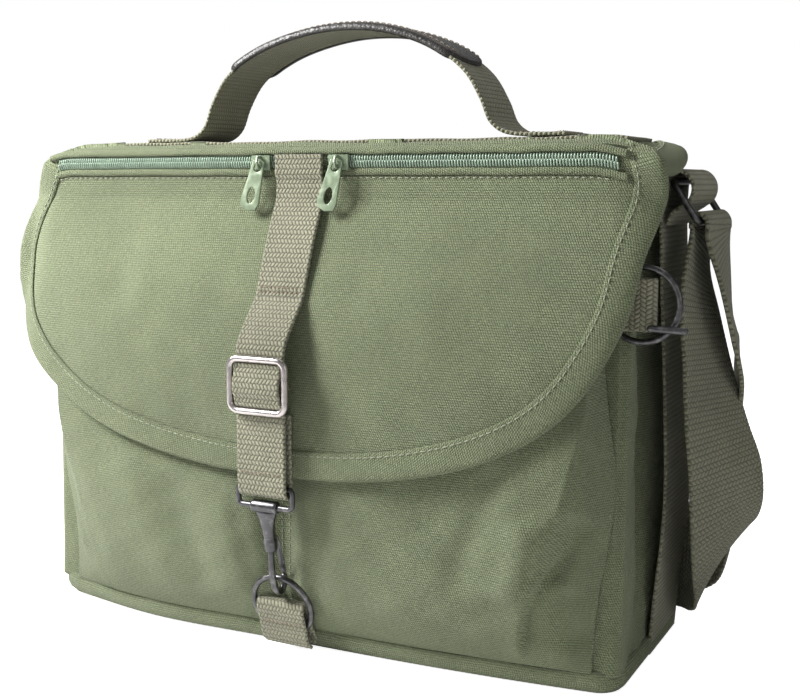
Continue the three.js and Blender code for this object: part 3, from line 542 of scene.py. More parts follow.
def flap_smooth_y(x, z):
    s = clamp01((FLAP_STRAIGHT_Z - z) / 104)
    swell = np.sin(pi / 2 * s) ** 1.1
    side = 1 - 0.5 * np.minimum(1, np.abs(x) / FLAP_HALF) ** 4
    near_edge = clamp01((np.abs(x) - flap_half_at(z) + 20) / 20)
    curl = FLAP_CURL * near_edge ** 1.6 * smooth((FLAP_FOLD_Z - 6 - z) / 24)
    return FLAP_FACE_Y - FLAP_SWELL * swell * side + curl


def flap_y(x, z):
    """Outer face of the flap, with its soft hanging waves."""
    loose = smooth((FLAP_STRAIGHT_Z + 4 - z) / 60)
    clear = smooth((np.abs(x) - 17) / 14)
    waves = 0.9 * ripple(x, z * 0.45, 74, 1.3) + 0.35 * ripple(x, z, 31, 4.1)
    waves = waves + creases(x, z, FLAP_CREASES)
    return flap_smooth_y(x, z) + loose * clear * waves * 0.8


def flap_lower_z(across):
    rest = np.maximum(0, 1 - np.abs(across) ** 2.3)
    return FLAP_CORNER_Z - FLAP_DROP * rest ** (1 / 2.3)


def flap_half_at(z):
    return FLAP_HALF - FLAP_SHOULDER * clamp01((z - FLAP_CORNER_Z) / (FLAP_FOLD_Z - FLAP_CORNER_Z)) ** 2.2


def corner_drop(x):
    return CORNER_DROP * clamp01((np.abs(x) - 153) / 28) ** 1.6


def flap_front(across, down, height=flap_y):
    """A point of the flap's front, which leans right at the fold and a little to the left below."""
    top = FLAP_FOLD_Z - corner_drop(across * FLAP_TOP_HALF)
    z = lerp(top, flap_lower_z(across), down)
    lean = lerp(-8, FLAP_LEAN, smooth((z - 200) / 55)) * smooth((z - 110) / 55)
    x = across * flap_half_at(z) + lean * np.abs(across) ** 1.5
    return xyz(x, height(x, z), z)


def pocket_half(x, z):
    """The pocket's half width: it splays at its right side, and draws in at its lower left corner."""
    splay = 9 * bell((z - 100) / 48)
    return POCKET_HALF + np.where(x > 0, splay, lerp(-4, 4, smooth((z - 12) / 90)))


def pleat(x, z):
    """The step at the pocket's lower right, where the cloth goes back along a line that curves up."""
    past = x - (126 + 27 * clamp01((z - 13) / 67) ** 2.2)
    return 8 * smooth(past / 1.6) * np.exp(-np.maximum(0, past) / 15) * (1 - smooth((z - 52) / 30))


def pocket_y(x, z):
    """Outer face of the front pocket: two bays that bulge beside the middle seam, with corner folds."""
    s = clamp01((z - BASE_RIM) / (POCKET_TOP - BASE_RIM))
    rise = np.sin(2.5 * s ** 0.72)
    edge = lerp(124, 153, smooth(s * 1.25)) + np.where(x > 0, 6, 0)
    t = (np.abs(x) - edge) / (pocket_half(x, z) - edge)
    falling = (t + np.sqrt(t * t + 0.0015)) / 2
    across = clamp01(1.0 - falling ** 1.15)
    seam = 1 - 0.5 * bell(x / 12)
    bulge = POCKET_BULGE * rise * across * seam + left_swell(x) * (1 - s)
    y = body_front_y(x, z) - 1.9 - 1.2 * smooth(s * 14) * across - bulge
    waves = 1.1 * ripple(x, z * 0.5, 66, 2.2) + 0.4 * ripple(x, z, 27, 5.3)
    y = y + smooth(s * 9) * (waves + creases(x, z, POCKET_CREASES) + pleat(x, z))
    # under the flap the pocket lies against it
    covered = smooth((z - flap_lower_z(x / FLAP_HALF) + 10) / 10)
    limit = flap_smooth_y(x, z) + CLOTH + 2.2
    return np.where(covered > 0, np.maximum(y, lerp(y, limit, covered)), y)


def hood_half(t):
    front = lerp(FLAP_TOP_HALF, HOOD_HALF, smooth(t * 3))
    return lerp(front, HOOD_BACK_HALF, smooth((t - 0.4) / 0.2))


ROUND_PROFILE = catmull(np.hstack([TOP_PROFILE, np.zeros((len(TOP_PROFILE), 1))]), 12)[:, :2]


def flap_top(x, t):
    """Points on top of the flap, t going from 0 at the front fold to 1 at the back seam."""
    steps = np.arange(len(ROUND_PROFILE))
    y, z = (np.interp(t * steps[-1], steps, ROUND_PROFILE[:, k]) for k in range(2))
    wing = clamp01((np.abs(x) - 150) / 26) ** 1.3
    droop = corner_drop(x) + HOOD_DROOP * wing * smooth(t * 4) * smooth((0.5 - t) / 0.2)
    droop = droop * smooth((z - BACK_TOP) / 12)
    x = x + FLAP_LEAN * (np.abs(x) / HOOD_HALF) ** 1.5 * (1 - smooth((t - 0.3) / 0.3))
    sag = 0.5 * ripple(x, y, 60, 3.3) * within(t, 5)
    return xyz(x, y, z - droop + sag)


# ---- materials ----

class Nodes:
    """Small helper that builds one node material."""

    def __init__(self, name):
        self.material = bpy.data.materials.new(name)
        self.material.use_nodes = True
        self.tree = self.material.node_tree
        self.shader = self.tree.nodes["Principled BSDF"]

    def add(self, kind, inputs=None, **settings):
        node = self.tree.nodes.new("ShaderNode" + kind)
        for key, value in settings.items():
            setattr(node, key, value)
        for key, value in (inputs or {}).items():
            self.plug(node.inputs[key], value)
        return node

    def plug(self, socket, value):
        if isinstance(value, bpy.types.NodeSocket):
            self.tree.links.new(value, socket)
        else:
            socket.default_value = value

    def math(self, operation, a, b=0.0, c=0.0):
        return self.add("Math", {0: a, 1: b, 2: c}, operation=operation).outputs[0]

    def plus(self, a, b):
        return self.math("ADD", a, b)

    def times(self, a, b):
        return self.math("MULTIPLY", a, b)

    def ramp(self, value, stops):
        node = self.add("ValToRGB", {"Fac": value})
        elements = node.color_ramp.elements
        while len(elements) < len(stops):
            elements.new(0.5)
        for element, (place, colour) in zip(elements, stops):
            element.position = place
            element.color = (*colour, 1)
        return node.outputs["Color"]

    def grey(self, value, *stops):
        return self.ramp(value, [(place, (level,) * 3) for place, level in stops])

    def mix(self, kind, fac, a, b):
        a, b = ((*colour, 1) if isinstance(colour, tuple) else colour for colour in (a, b))
        return self.add("Mix", {0: fac, 6: a, 7: b}, data_type="RGBA", blend_type=kind).outputs[2]

    def tint(self, tone, amount, value, *stops):
        """The tone multiplied by a ramp of the value."""
        return self.mix("MULTIPLY", amount, tone, self.ramp(value, stops))

    def stretched(self, place, by):
        return self.add("VectorMath", {0: place, 1: by}, operation="MULTIPLY").outputs[0]

    def surface(self, inputs):
        for key, value in inputs.items():
            self.plug(self.shader.inputs[key], value)

    def noise(self, vector, scale, detail=3.0, roughness=0.55):
        inputs = {"Vector": vector, "Scale": scale, "Detail": detail, "Roughness": roughness}
        return self.add("TexNoise", inputs).outputs["Fac"]

    def bump(self, height, strength, distance):
        node = self.add("Bump", {"Height": height, "Strength": strength, "Distance": distance})
        self.plug(self.shader.inputs["Normal"], node.outputs["Normal"])

    def grain(self):
        """The place in the cloth, in mm, as separate across and along values."""
        place = self.add("Attribute", attribute_name="grain").outputs["Vector"]
        apart = self.add("SeparateXYZ", {"Vector": place})
        return place, apart.outputs["X"], apart.outputs["Y"]

    def position(self):
        return self.add("TexCoord").outputs["Object"]


def shade(colour, amount):
    return tuple(c * amount for c in colour)


def plain_weave(n, across, along, thread):
    """Height of a plain weave, 0 to 1, and the side of the cloth that each crossing shows, -1 to 1."""
    a = n.math("SINE", n.times(across, pi / thread))
    b = n.math("SINE", n.times(along, pi / thread))
    crossing = n.times(a, b)
    return n.math("POWER", n.math("ABSOLUTE", crossing), 0.6), crossing


def canvas_material(name, colour, thread=1.2, depth=0.00055, sheen=0.16):
    """Plain-woven canvas: slanting threads that wander a little, flecked and softly worn, with painted
    shade in the weave's gaps and painted highlights on its crests.
    """
    n = Nodes(name)
    place, across, along = n.grain()
    wander = n.math("MULTIPLY_ADD", n.noise(place, 0.12, 2.0), 1.6, -0.8)
    slanted = n.plus(n.plus(across, wander), n.times(along, 0.5))
    height, crossing = plain_weave(n, slanted, along, thread)
    threads = n.noise(n.stretched(place, (0.35, 2.2, 1)), 1.0, 4.0)
    flecks = n.noise(place, 1.9, 2.0, 0.7)
    cloudy = n.noise(n.position(), 9.0, 4.0, 0.6)
    worn = n.noise(n.position(), 55.0, 5.0, 0.65)
    tone = n.ramp(cloudy, [(0.30, shade(colour, 0.86)), (0.52, colour), (0.74, shade(colour, 1.15))])
    # painted shade and highlight: the weave's gaps are darkened and its raised crests lightened, as light
    # falls on them
    tone = n.tint(tone, 1.0, height, (0.0, (0.30, 0.31, 0.29)), (0.62, (1.10, 1.10, 1.08)))
    tone = n.tint(tone, 0.8, crossing, (0.0, (0.96, 0.97, 0.97)), (0.6, (1.05, 1.05, 1.03)))
    tone = n.tint(tone, 0.8, threads, (0.35, (0.70, 0.72, 0.69)), (0.65, (1.30, 1.29, 1.25)))
    tone = n.tint(tone, 0.7, flecks, (0.36, (0.62, 0.64, 0.61)), (0.66, (1.36, 1.34, 1.30)))
    tone = n.tint(tone, 0.6, worn, (0.35, (0.90, 0.91, 0.90)), (0.7, (1.10, 1.09, 1.07)))
    n.surface({
        "Base Color": tone, "Roughness": n.grey(worn, (0.3, 0.82), (0.7, 0.97)), "Sheen Weight": sheen,
        "Sheen Roughness": 0.45, "Sheen Tint": (0.92, 0.94, 0.84, 1), "Specular IOR Level": 0.12,
    })
    n.bump(n.plus(n.plus(height, n.times(flecks, 0.9)), n.times(threads, 0.5)), 0.85, depth)
    return n.material


def webbing_material(name, colour, row=PICK, column=2.1, depth=0.0008):
    """Heavy woven band: rows of plump stitches, each row set half a stitch over from the last, with painted
    shade between the stitches and painted highlights on their crowns.
    """
    n = Nodes(name)
    place, across, along = n.grain()
    wander = n.math("MULTIPLY_ADD", n.noise(place, 0.3, 2.0), 1.0, -0.5)
    rows = n.math("DIVIDE", n.plus(along, n.times(wander, 0.6)), row)
    odd = n.math("MODULO", n.math("FLOOR", rows), 2.0)
    columns = n.plus(n.math("DIVIDE", n.plus(across, 200.0), column), n.times(odd, 0.5))
    lean = n.times(n.math("SUBTRACT", n.math("FRACT", rows), 0.5), 0.6)
    turn = n.math("SUBTRACT", n.times(odd, 2.0), 1.0)
    columns = n.plus(columns, n.times(lean, turn))
    plump_row = n.math("ABSOLUTE", n.math("SINE", n.times(rows, pi)))
    plump_column = n.math("ABSOLUTE", n.math("SINE", n.times(columns, pi)))
    height = n.times(n.math("POWER", plump_row, 0.4), n.math("POWER", plump_column, 0.6))
    fibres = n.noise(n.stretched(place, (4.0, 1.2, 1)), 1.0, 4.0)
    cloudy = n.noise(n.position(), 16.0, 4.0, 0.6)
    tone = n.ramp(cloudy, [(0.32, shade(colour, 0.85)), (0.68, shade(colour, 1.15))])
    # painted shade and highlight: darker between the stitches, lighter on their raised crowns
    tone = n.tint(tone, 1.0, height, (0.0, (0.34, 0.34, 0.33)), (0.8, (1.2, 1.2, 1.19)))
    tone = n.tint(tone, 0.8, fibres, (0.35, (0.76, 0.76, 0.75)), (0.65, (1.22, 1.22, 1.2)))
    n.surface({
        "Base Color": tone, "Roughness": 0.95, "Sheen Weight": 0.3, "Sheen Roughness": 0.5,
        "Sheen Tint": (0.9, 0.9, 0.82, 1), "Specular IOR Level": 0.12,
    })
    n.bump(n.plus(height, n.times(fibres, 0.5)), 0.9, depth)
    return n.material


def thread_material(name, colour):
    n = Nodes(name)
    twist = n.noise(n.position(), 1400.0, 2.0)
    tone = n.ramp(twist, [(0.3, shade(colour, 0.7)), (0.7, shade(colour, 1.2))])
    n.surface({"Base Color": tone, "Roughness": 0.7, "Sheen Weight": 0.3})
    n.bump(twist, 0.5, 0.0002)
    return n.material


def leather_material(name, colour):
    """Creased leather, rubbed lighter in patches, with painted shade in the creases of its grain and its
    raised cells lighter.
    """
    n = Nodes(name)
    place = n.position()
    cells = n.add("TexVoronoi", {"Vector": place, "Scale": 620.0}, feature="F1").outputs["Distance"]
    folds = n.noise(n.stretched(place, (90, 420, 90)), 1.0, 4.0)
    cloudy = n.noise(place, 45.0, 5.0, 0.6)
    tone = n.ramp(cloudy, [(0.3, shade(colour, 0.6)), (0.55, colour), (0.78, shade(colour, 2.1))])
    # painted shade: darker in the creases between the grain's cells, lighter on the raised cells
    tone = n.tint(tone, 0.6, cells, (0.1, (1.15, 1.15, 1.15)), (0.8, (0.6, 0.6, 0.6)))
    n.surface({"Base Color": tone, "Roughness": n.grey(cloudy, (0.3, 0.38), (0.7, 0.58))})
    n.bump(n.plus(n.times(cells, -0.8), n.times(folds, 1.1)), 0.6, 0.0005)
    return n.material


def metal_material(name, colour, roughness, metallic=1.0, worn=None):
    """Cast or bent metal with uneven polish, and a lighter rubbed tone where worn is given."""
    n = Nodes(name)
    place = n.position()
    cloudy = n.noise(place, 240.0, 5.0, 0.6)
    specks = n.noise(place, 1200.0, 3.0, 0.6)
    tone = n.ramp(cloudy, [(0.3, shade(colour, 0.8)), (0.7, shade(colour, 1.2))])
    if worn:
        rubbed = n.times(n.math("SUBTRACT", cloudy, 0.52), 4.0)
        tone = n.mix("MIX", n.math("MINIMUM", n.math("MAXIMUM", rubbed, 0.0), 0.55), tone, worn)
    polish = n.grey(cloudy, (0.3, roughness * 0.8), (0.7, min(1, roughness * 1.25)))
    n.surface({"Base Color": tone, "Metallic": metallic, "Roughness": polish})
    n.bump(n.plus(cloudy, n.times(specks, 0.4)), 0.16, 0.0003)
    return n.material


CANVAS_COLOUR = (0.194, 0.219, 0.142)
WEB_COLOUR = (0.225, 0.220, 0.160)
STRAP_COLOUR = (0.185, 0.185, 0.128)

CANVAS = canvas_material("canvas", CANVAS_COLOUR)
LINING = canvas_material("lining_cloth", (0.06, 0.066, 0.045), thread=0.5, depth=0.0001)
WEB = webbing_material("webbing", WEB_COLOUR)
STRAP_WEB = webbing_material("strap_webbing", STRAP_COLOUR, column=2.6, depth=0.0011)
THREAD = thread_material("thread", (0.27, 0.285, 0.20))
DARK_THREAD = thread_material("webbing_thread", (0.20, 0.15, 0.095))
LEATHER = leather_material("leather", (0.030, 0.027, 0.024))
GUNMETAL = metal_material("gunmetal", (0.10, 0.098, 0.102), 0.36, worn=(0.26, 0.25, 0.25))
NICKEL = metal_material("satin_nickel", (0.50, 0.46, 0.45), 0.30)
ENAMEL = metal_material("green_enamel", (0.20, 0.255, 0.165), 0.36, metallic=0.2, worn=(0.30, 0.35, 0.25))
TEETH = metal_material("zip_teeth", (0.235, 0.31, 0.235), 0.4, metallic=0.15)
TAPE = canvas_material("zip_tape", (0.085, 0.105, 0.07), thread=0.5, depth=0.0001)
BOARD = metal_material("board", (0.08, 0.07, 0.055), 0.8, metallic=0.0)


def place(made, body, material, slot, *nodes):
    """Gives a piece its material and its body if it has just one, and hides the CAD nodes it stands for.
    The slot is not used.
    """
    made.data.materials.clear()
    made.data.materials.append(material)
    if body:
        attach(made, body)
    if nodes:
        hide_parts(*nodes)
    return made


def piece(name, shape, *where):
    return place(new_object(name, *shape), *where)


def gunmetal(name, body, node, shape):
    place(new_object(name, *shape), body, GUNMETAL, "gunmetal", node)


SIDES = {"left": -1, "right": 1}


# ---- camera, light and floor ----

def make_camera():
    data = bpy.data.cameras.new("camera")
    data.lens = CAMERA_LENS
    data.sensor_width = 36
    camera = bpy.data.objects.new("camera", data)
    camera.location = CAMERA_PLACE
    camera.rotation_euler = (radians(90 - CAMERA_DIP), 0, radians(CAMERA_YAW))
    bpy.context.scene.collection.objects.link(camera)
    bpy.context.scene.camera = camera


def area_light(name, place_at, target, size, power):
    """A square lamp that points at its target."""
    data = bpy.data.lights.new(name, "AREA")
    data.size = size
    data.energy = power
    light = bpy.data.objects.new(name, data)
    way = Vector(target) - Vector(place_at)
    light.location = place_at
    light.rotation_euler = way.to_track_quat("-Z", "Y").to_euler()
    bpy.context.scene.collection.objects.link(light)


def make_studio():
    area_light("key", (-0.52, -0.38, 0.62), (-0.10, 0, 0.16), 0.3, 16)
    area_light("fill", (0.6, -1.5, 0.7), (0, 0, 0.12), 1.2, 1.4)
    area_light("rim", (1.3, -0.5, 0.6), (0.17, 0.02, 0.12), 0.6, 2.6)
    area_light("top", (0.0, 0.5, 1.3), (0, 0, 0.1), 1.2, 6)
    world = bpy.data.worlds.new("studio")
    world.use_nodes = True
    backdrop = world.node_tree.nodes["Background"]
    backdrop.inputs["Color"].default_value = (1, 1, 1, 1)
    # the backdrop is seen white, and lights the bag only softly
    seen = world.node_tree.nodes.new("ShaderNodeLightPath").outputs["Is Camera Ray"]
    strength = world.node_tree.nodes.new("ShaderNodeMapRange")
    strength.inputs["To Min"].default_value = AMBIENT
    strength.inputs["To Max"].default_value = 1.0
    world.node_tree.links.new(seen, strength.inputs["Value"])
    world.node_tree.links.new(strength.outputs["Result"], backdrop.inputs["Strength"])
    bpy.context.scene.world = world
    bpy.context.scene.view_settings.view_transform = "Standard"


def make_floor():
    half, n = 6000, 24
    side = np.linspace(-half, half, n)
    x, y = np.meshgrid(side, side)
    points = xyz(x, y, 0.0).reshape(-1, 3)
    floor = new_object("floor", points, grid_faces(n, n))
    paper = Nodes("paper")
    seen = paper.add("LightPath").outputs["Is Camera Ray"]
    paper.surface({
        "Base Color": (0.9, 0.9, 0.9, 1), "Roughness": 0.9, "Emission Color": (1, 1, 1, 1),
        "Emission Strength": paper.times(seen, FLOOR_GLOW),
    })
    floor.data.materials.append(paper.material)


# ---- shoulder strap ----

def make_shoulder_strap():
    dense = catmull(np.array(STRAP_ROUTE, dtype=float), 40)
    even = respace(dense, int(travelled(dense)[-1] / 0.9))
    band = webbing_body(even[:, :3], even[:, 3:], SIDE_WEB_WIDTH, WEBBING + 0.4)
    made = piece("strap_band", band, "body", STRAP_WEB, "strap_webbing", "shoulder_strap")
    slide = wire_body(loop_path(ADJUSTER, Y, Z, 7.2, 27.2, 2), 1.5, closed=True)
    bar = wire_body(np.array([ADJUSTER - Z * 27, ADJUSTER + Z * 27]), 1.2)
    adjuster = new_object("strap_slide", *join_parts([slide, bar]))
    place(adjuster, "body", GUNMETAL, "gunmetal", "strap_adjuster")


# ---- body panels ----

def base_outline(inset, count=360):
    """Rounded outline of the base, its front edge bowed like the front of the bag."""
    half = BODY_HALF + BASE_OUT - inset
    radius = max(0.6, BASE_CORNER - inset)
    inner = half - radius
    x = np.linspace(-inner, inner, 80)
    front = np.stack([x, body_front_y(x, 0) + inset - left_swell(x)], axis=1)

    def corner(cx, cy, start):
        angle = start + np.linspace(0, pi / 2, 14)[1:-1]
        return np.stack([cx + radius * np.cos(angle), cy + radius * np.sin(angle)], axis=1)

    front_y = front[-1, 1] + radius
    back = BACK_Y - inset
    outline = np.vstack([
        front, corner(inner, front_y, -pi / 2), [[half, front_y], [half, back - radius]],
        corner(inner, back - radius, 0), [[inner, back], [-inner, back]],
        corner(-inner, back - radius, pi / 2), [[-half, back - radius], [-half, front_y]],
        corner(-inner, front_y, pi),
    ])
    loop = np.hstack([outline, np.zeros((len(outline), 1))])
    return respace(np.vstack([loop, loop[:1]]), count)[:-1, :2]


def make_base():
    """The boxed bottom: a folded band of canvas round the rim, plump at its seam."""
    section = [
        (9, 0.2), (3.2, 0), (0.9, 0.7), (-0.8, 2.4), (-1.9, 4.8), (-2.2, 7.2), (-1.7, 9.4),
        (-0.4, 11.1), (1.3, 11.7), (2.6, 10.9), (3.2, 8.5), (3.2, 3.4), (9, 3.2),
    ]
    rings = []
    for inset, z in section:
        ring = base_outline(inset)
        sag = 0.5 * ripple(ring[:, 0], ring[:, 1], 46, 1.9) * smooth((z - 3) / 7)
        rings.append(np.column_stack([ring, np.full(len(ring), z) + sag]))
    points, faces = skin(np.array(rings))
    along = travelled(np.vstack([rings[3], rings[3][:1]]))[:-1]
    height = travelled(np.array([[i, z, 0] for i, z in section]))
    grain = np.stack(np.broadcast_arrays(along[None, :], height[:, None]), axis=-1).reshape(-1, 2)
    place(new_object("base_band", points, faces, grain), "body", CANVAS, "canvas", "base_panel")


def spread(u, bend):
    """Runs from -1 to 1 as u goes from 0 to 1, slower near its ends."""
    return np.sin((u - 0.5) * pi * bend) / sin(bend * pi / 2)


def front_rows(half, low, high, columns, rows):
    return np.meshgrid(np.linspace(-half, half, columns), np.linspace(low, high, rows))


def make_front_and_back():
    x, z = front_rows(BODY_HALF - 13, BASE_RIM + GAP, BODY_TOP, 150, 110)
    front = lambda x, z: body_front_y(x, z) + 0.5 * ripple(x, z, 70, 2.9) * smooth((BODY_TOP - z) / 30)
    made = cloth("front_cloth", xyz(x, front(x, z), z), height_normal(front, x, z), WALL)
    place(made, "body", CANVAS, "canvas", "front_panel")

    x, z = front_rows(BODY_HALF - 11, BASE_RIM + GAP, BACK_TOP, 170, 110)
    hold = smooth((BODY_HALF - np.abs(x)) / 30) * smooth((z - BASE_RIM) / 25) * smooth((BACK_TOP - z) / 30)
    y = BACK_Y + WALL - 0.3 + hold * (1.6 * ripple(x, z * 0.6, 90, 0.7) + 0.4 * ripple(x, z, 33, 3.1) - 1.2)
    p = xyz(x, y, z)
    made = cloth("back_cloth", p, grid_normal(p, Y), WALL)
    place(made, "body", CANVAS, "canvas", "back_panel")


def make_pocket():
    u, v = unit_grid(260, 130)
    z = lerp(BASE_RIM - 0.4, POCKET_TOP, v)
    across = spread(u, 0.96)
    x = pocket_half(across, z) * across
    made = cloth("pocket_cloth", xyz(x, pocket_y(x, z), z), height_normal(pocket_y, x, z), CLOTH - 0.6)
    place(made, "body", CANVAS, "canvas", "front_pocket")
    rows = []
    for offset in (-2.2, 2.2):
        z = np.linspace(BASE_RIM + 2, POCKET_TOP - 3, 90)
        x = np.full_like(z, offset)
        rows.append(stitch_body(xyz(x, pocket_y(x, z) - 0.1, z), height_normal(pocket_y, x, z)))
    piece("pocket_stitches", join_parts(rows), "body", THREAD, "canvas")


def gusset_plan(z):
    """Line of one side panel seen from above, wrapped round the bag's front and back corners."""
    half = BODY_HALF + GUSSET_OUT
    front, back = body_front_y(BODY_HALF, z) - 0.6, BACK_Y + WALL - 0.6
    x, turn = half - GUSSET_CORNER, GUSSET_CORNER * circle(1, 36)[:10]
    first = [(x + s, front + GUSSET_CORNER - c) for c, s in turn]
    last = [(x + c, back - GUSSET_CORNER + s) for c, s in turn]
    line = np.array([(half - 17, front - 0.2), *first, *last, (half - 15, back + 0.2)])
    return respace(np.hstack([line, np.zeros((len(line), 1))]), 139)


def gusset_grid(side):
    rows = []
    for v in np.linspace(0, 1, 120):
        line = gusset_plan(lerp(BASE_RIM, BODY_TOP, v))
        u = clamp01((line[:, 1] - line[0, 1]) / (line[-1, 1] - line[0, 1]))
        top = lerp(BODY_TOP, BACK_TOP, smooth((u - 0.7) / 0.3))
        z = lerp(BASE_RIM - 1.5, top, v)
        along = travelled(line) / travelled(line)[-1]
        free = smooth((along - 0.13) / 0.12) * smooth((0.87 - along) / 0.12)
        fold = 9 * v ** 1.5 * np.sin(pi * u) ** 2
        fold = fold + free * smooth(v * 6) * (1.2 * ripple(line[:, 1], z * 0.4, 44, 1.1 + side))
        fold = fold + free * 0.5 * ripple(line[:, 1], z, 24, 2.2)
        pinch = bell((u - 0.40) / 0.085) * within(v, 5)
        fold = fold + 10 * pinch * (0.8 + 0.2 * sin(v * 9))
        fold = fold + 1.6 * bell((along - 0.115) / 0.012) * within(v, 8)
        plump = 2.0 if side > 0 else 5.0
        fold = fold - plump * bell((u - 0.08) / 0.12) * smooth((1 - v) * 4)
        rows.append(xyz(side * (line[:, 0] - fold), line[:, 1], z))
    return np.array(rows)


def make_gussets():
    for tag, side in SIDES.items():
        p = gusset_grid(side)
        normal = unit(np.cross(np.gradient(p, axis=1), np.gradient(p, axis=0)))
        normal = normal * np.sign((normal @ (X * side)).mean())
        made = cloth(f"gusset_cloth_{tag}", p, normal, WALL - 0.6)
        place(made, "body", CANVAS, "canvas", f"gusset_{tag}")


def make_board():
    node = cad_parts["base_board"]
    node.data.materials.clear()
    node.data.materials.append(BOARD)


# ---- flap ----

def make_flap_front():
    u, v = unit_grid(280, 130)
    across = spread(u, 0.97)
    p = flap_front(across, 1 - v * 0.985)
    normal = height_normal(flap_y, p[..., 0], p[..., 2])
    grain = np.stack([p[..., 0], p[..., 2]], axis=-1)
    made = cloth("flap_cloth", p, normal, CLOTH - 0.5, grain)
    place(made, "flap_front", CANVAS, "canvas", "flap_front")

    u, v = unit_grid(80, 50)
    p = flap_front(0.9 * np.sin((u - 0.5) * pi), lerp(0.84, 0.06, v), flap_smooth_y)
    p[..., 1] += CLOTH + 1.1
    made = cloth("flap_lining_cloth", p, height_normal(flap_smooth_y, p[..., 0], p[..., 2]), 0.9)
    place(made, "flap_front", LINING, "lining", "flap_lining")


def binding_section(width, cloth_thickness):
    """Tape folded round an edge, plump at the fold: p runs outwards, q along the outer normal."""
    inner = -cloth_thickness - 1.0
    nose = 2.6
    angle = np.linspace(pi / 2, -pi / 2, 9)
    middle, half = (1.55 + inner - 1.15) / 2, (1.55 - inner + 1.15) / 2
    round_edge = [(nose * cos(a) * 0.9 + 0.4, middle + half * sin(a)) for a in angle]
    front = [(-width, 0.25), (-width + 0.15, 0.95), (-width + 1.0, 1.25)]
    front += [(-width * 0.6, 1.45), (-width * 0.25, 1.65)]
    back = [(-width * 0.3, inner - 1.1), (-width * 0.62, inner - 0.9), (-width * 0.68, inner - 0.3)]
    inside = [(-width * 0.6, inner + 0.1), (0.4, inner + 0.2), (0.9, middle), (0.4, 0.1)]
    inside += [(-width * 0.6, 0.1)]
    return np.array(front + round_edge + back + inside)


def flap_edge(inset=0.0, low_count=420):
    """Points along the flap's free edge from the left fold round to the right, inset into the cloth."""
    down = np.linspace(0.0, 0.985, 60)
    left = flap_front(-np.ones(60), down)
    around = flap_front(-np.cos(np.linspace(0, pi, low_count)), np.ones(low_count))
    right = flap_front(np.ones(60), down[::-1])
    edge = respace(np.vstack([left, around, right]), 620)
    t = tangents(edge)
    inward = unit(xyz(-t[:, 2], 0.0, t[:, 0]))
    x, z = (edge[:, k] + inward[:, k] * inset for k in (0, 2))
    return xyz(x, flap_y(x, z), z)


def tape_rail(inset):
    """A line inset from the edge: along the hood's left side, round the flap, back along the right."""
    t = np.linspace(0.02, HOOD_TAPE_END, 150)
    right = flap_top(hood_half(t) - inset, t)
    left = flap_top(inset - hood_half(t), t)[::-1]
    line = np.vstack([left, flap_edge(inset), right])
    kernel = np.ones(7) / 7
    padded = np.vstack([line[:1]] * 3 + [line] + [line[-1:]] * 3)
    return np.stack([np.convolve(padded[:, k], kernel, "valid") for k in range(3)], axis=1)


def rail_normal(line, inner):
    normal = unit(np.cross(tangents(line), unit(inner - line)))
    outwards = line - np.array([0, 10, 180])
    return np.where(np.einsum("ij,ij->i", normal, outwards)[:, None] < 0, -normal, normal)


def across_fold(made):
    """Bakes a piece's place into its mesh."""
    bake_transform(made)


def make_edge_tape():
    edge = tape_rail(0)
    out = unit(edge - tape_rail(1.5))
    normal = rail_normal(edge, tape_rail(1.5))
    sections = []
    for reach, height in binding_section(BINDING_WIDTH, CLOTH):
        if reach < 0:
            line = tape_rail(-reach)
            point = line + rail_normal(line, tape_rail(1.5 - reach)) * height - edge
            sections.append([np.einsum("ij,ij->i", point, out), np.einsum("ij,ij->i", point, normal)])
        else:
            sections.append([np.full(len(edge), reach), np.full(len(edge), height)])
    sections = np.moveaxis(np.array(sections), 2, 0)
    made = piece(
        "flap_edge_tape", sweep_body(edge, out, normal, sections), None, CANVAS, "canvas",
        "flap_binding", "hood_binding_left", "hood_binding_right",
    )
    across_fold(made)
    line = tape_rail(BINDING_WIDTH - 2.2)
    normal = rail_normal(line, tape_rail(BINDING_WIDTH))
    row = stitch_body(line + normal * 1.25, normal, 2.6, 1.2)
    made = piece("flap_edge_stitches", row, None, THREAD, "canvas")
    across_fold(made)


def make_flap_top():
    columns, rows = 240, 120
    t = np.linspace(0.0, 1, rows)[:, None]
    x = np.linspace(-1, 1, columns)[None, :] * hood_half(t)
    p = flap_top(x, np.broadcast_to(t, x.shape))
    normal = grid_normal(p, Z * 1.0 + Y * 0.8)
    front = normal @ Y
    normal = np.where(((p[..., 1] < -40) & (front > 0))[..., None], -normal, normal)
    made = cloth("flap_top_cloth", p, normal, CLOTH - 0.4)
    place(made, None, CANVAS, "canvas", "flap_top")
    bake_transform(made)


# ---- zips ----

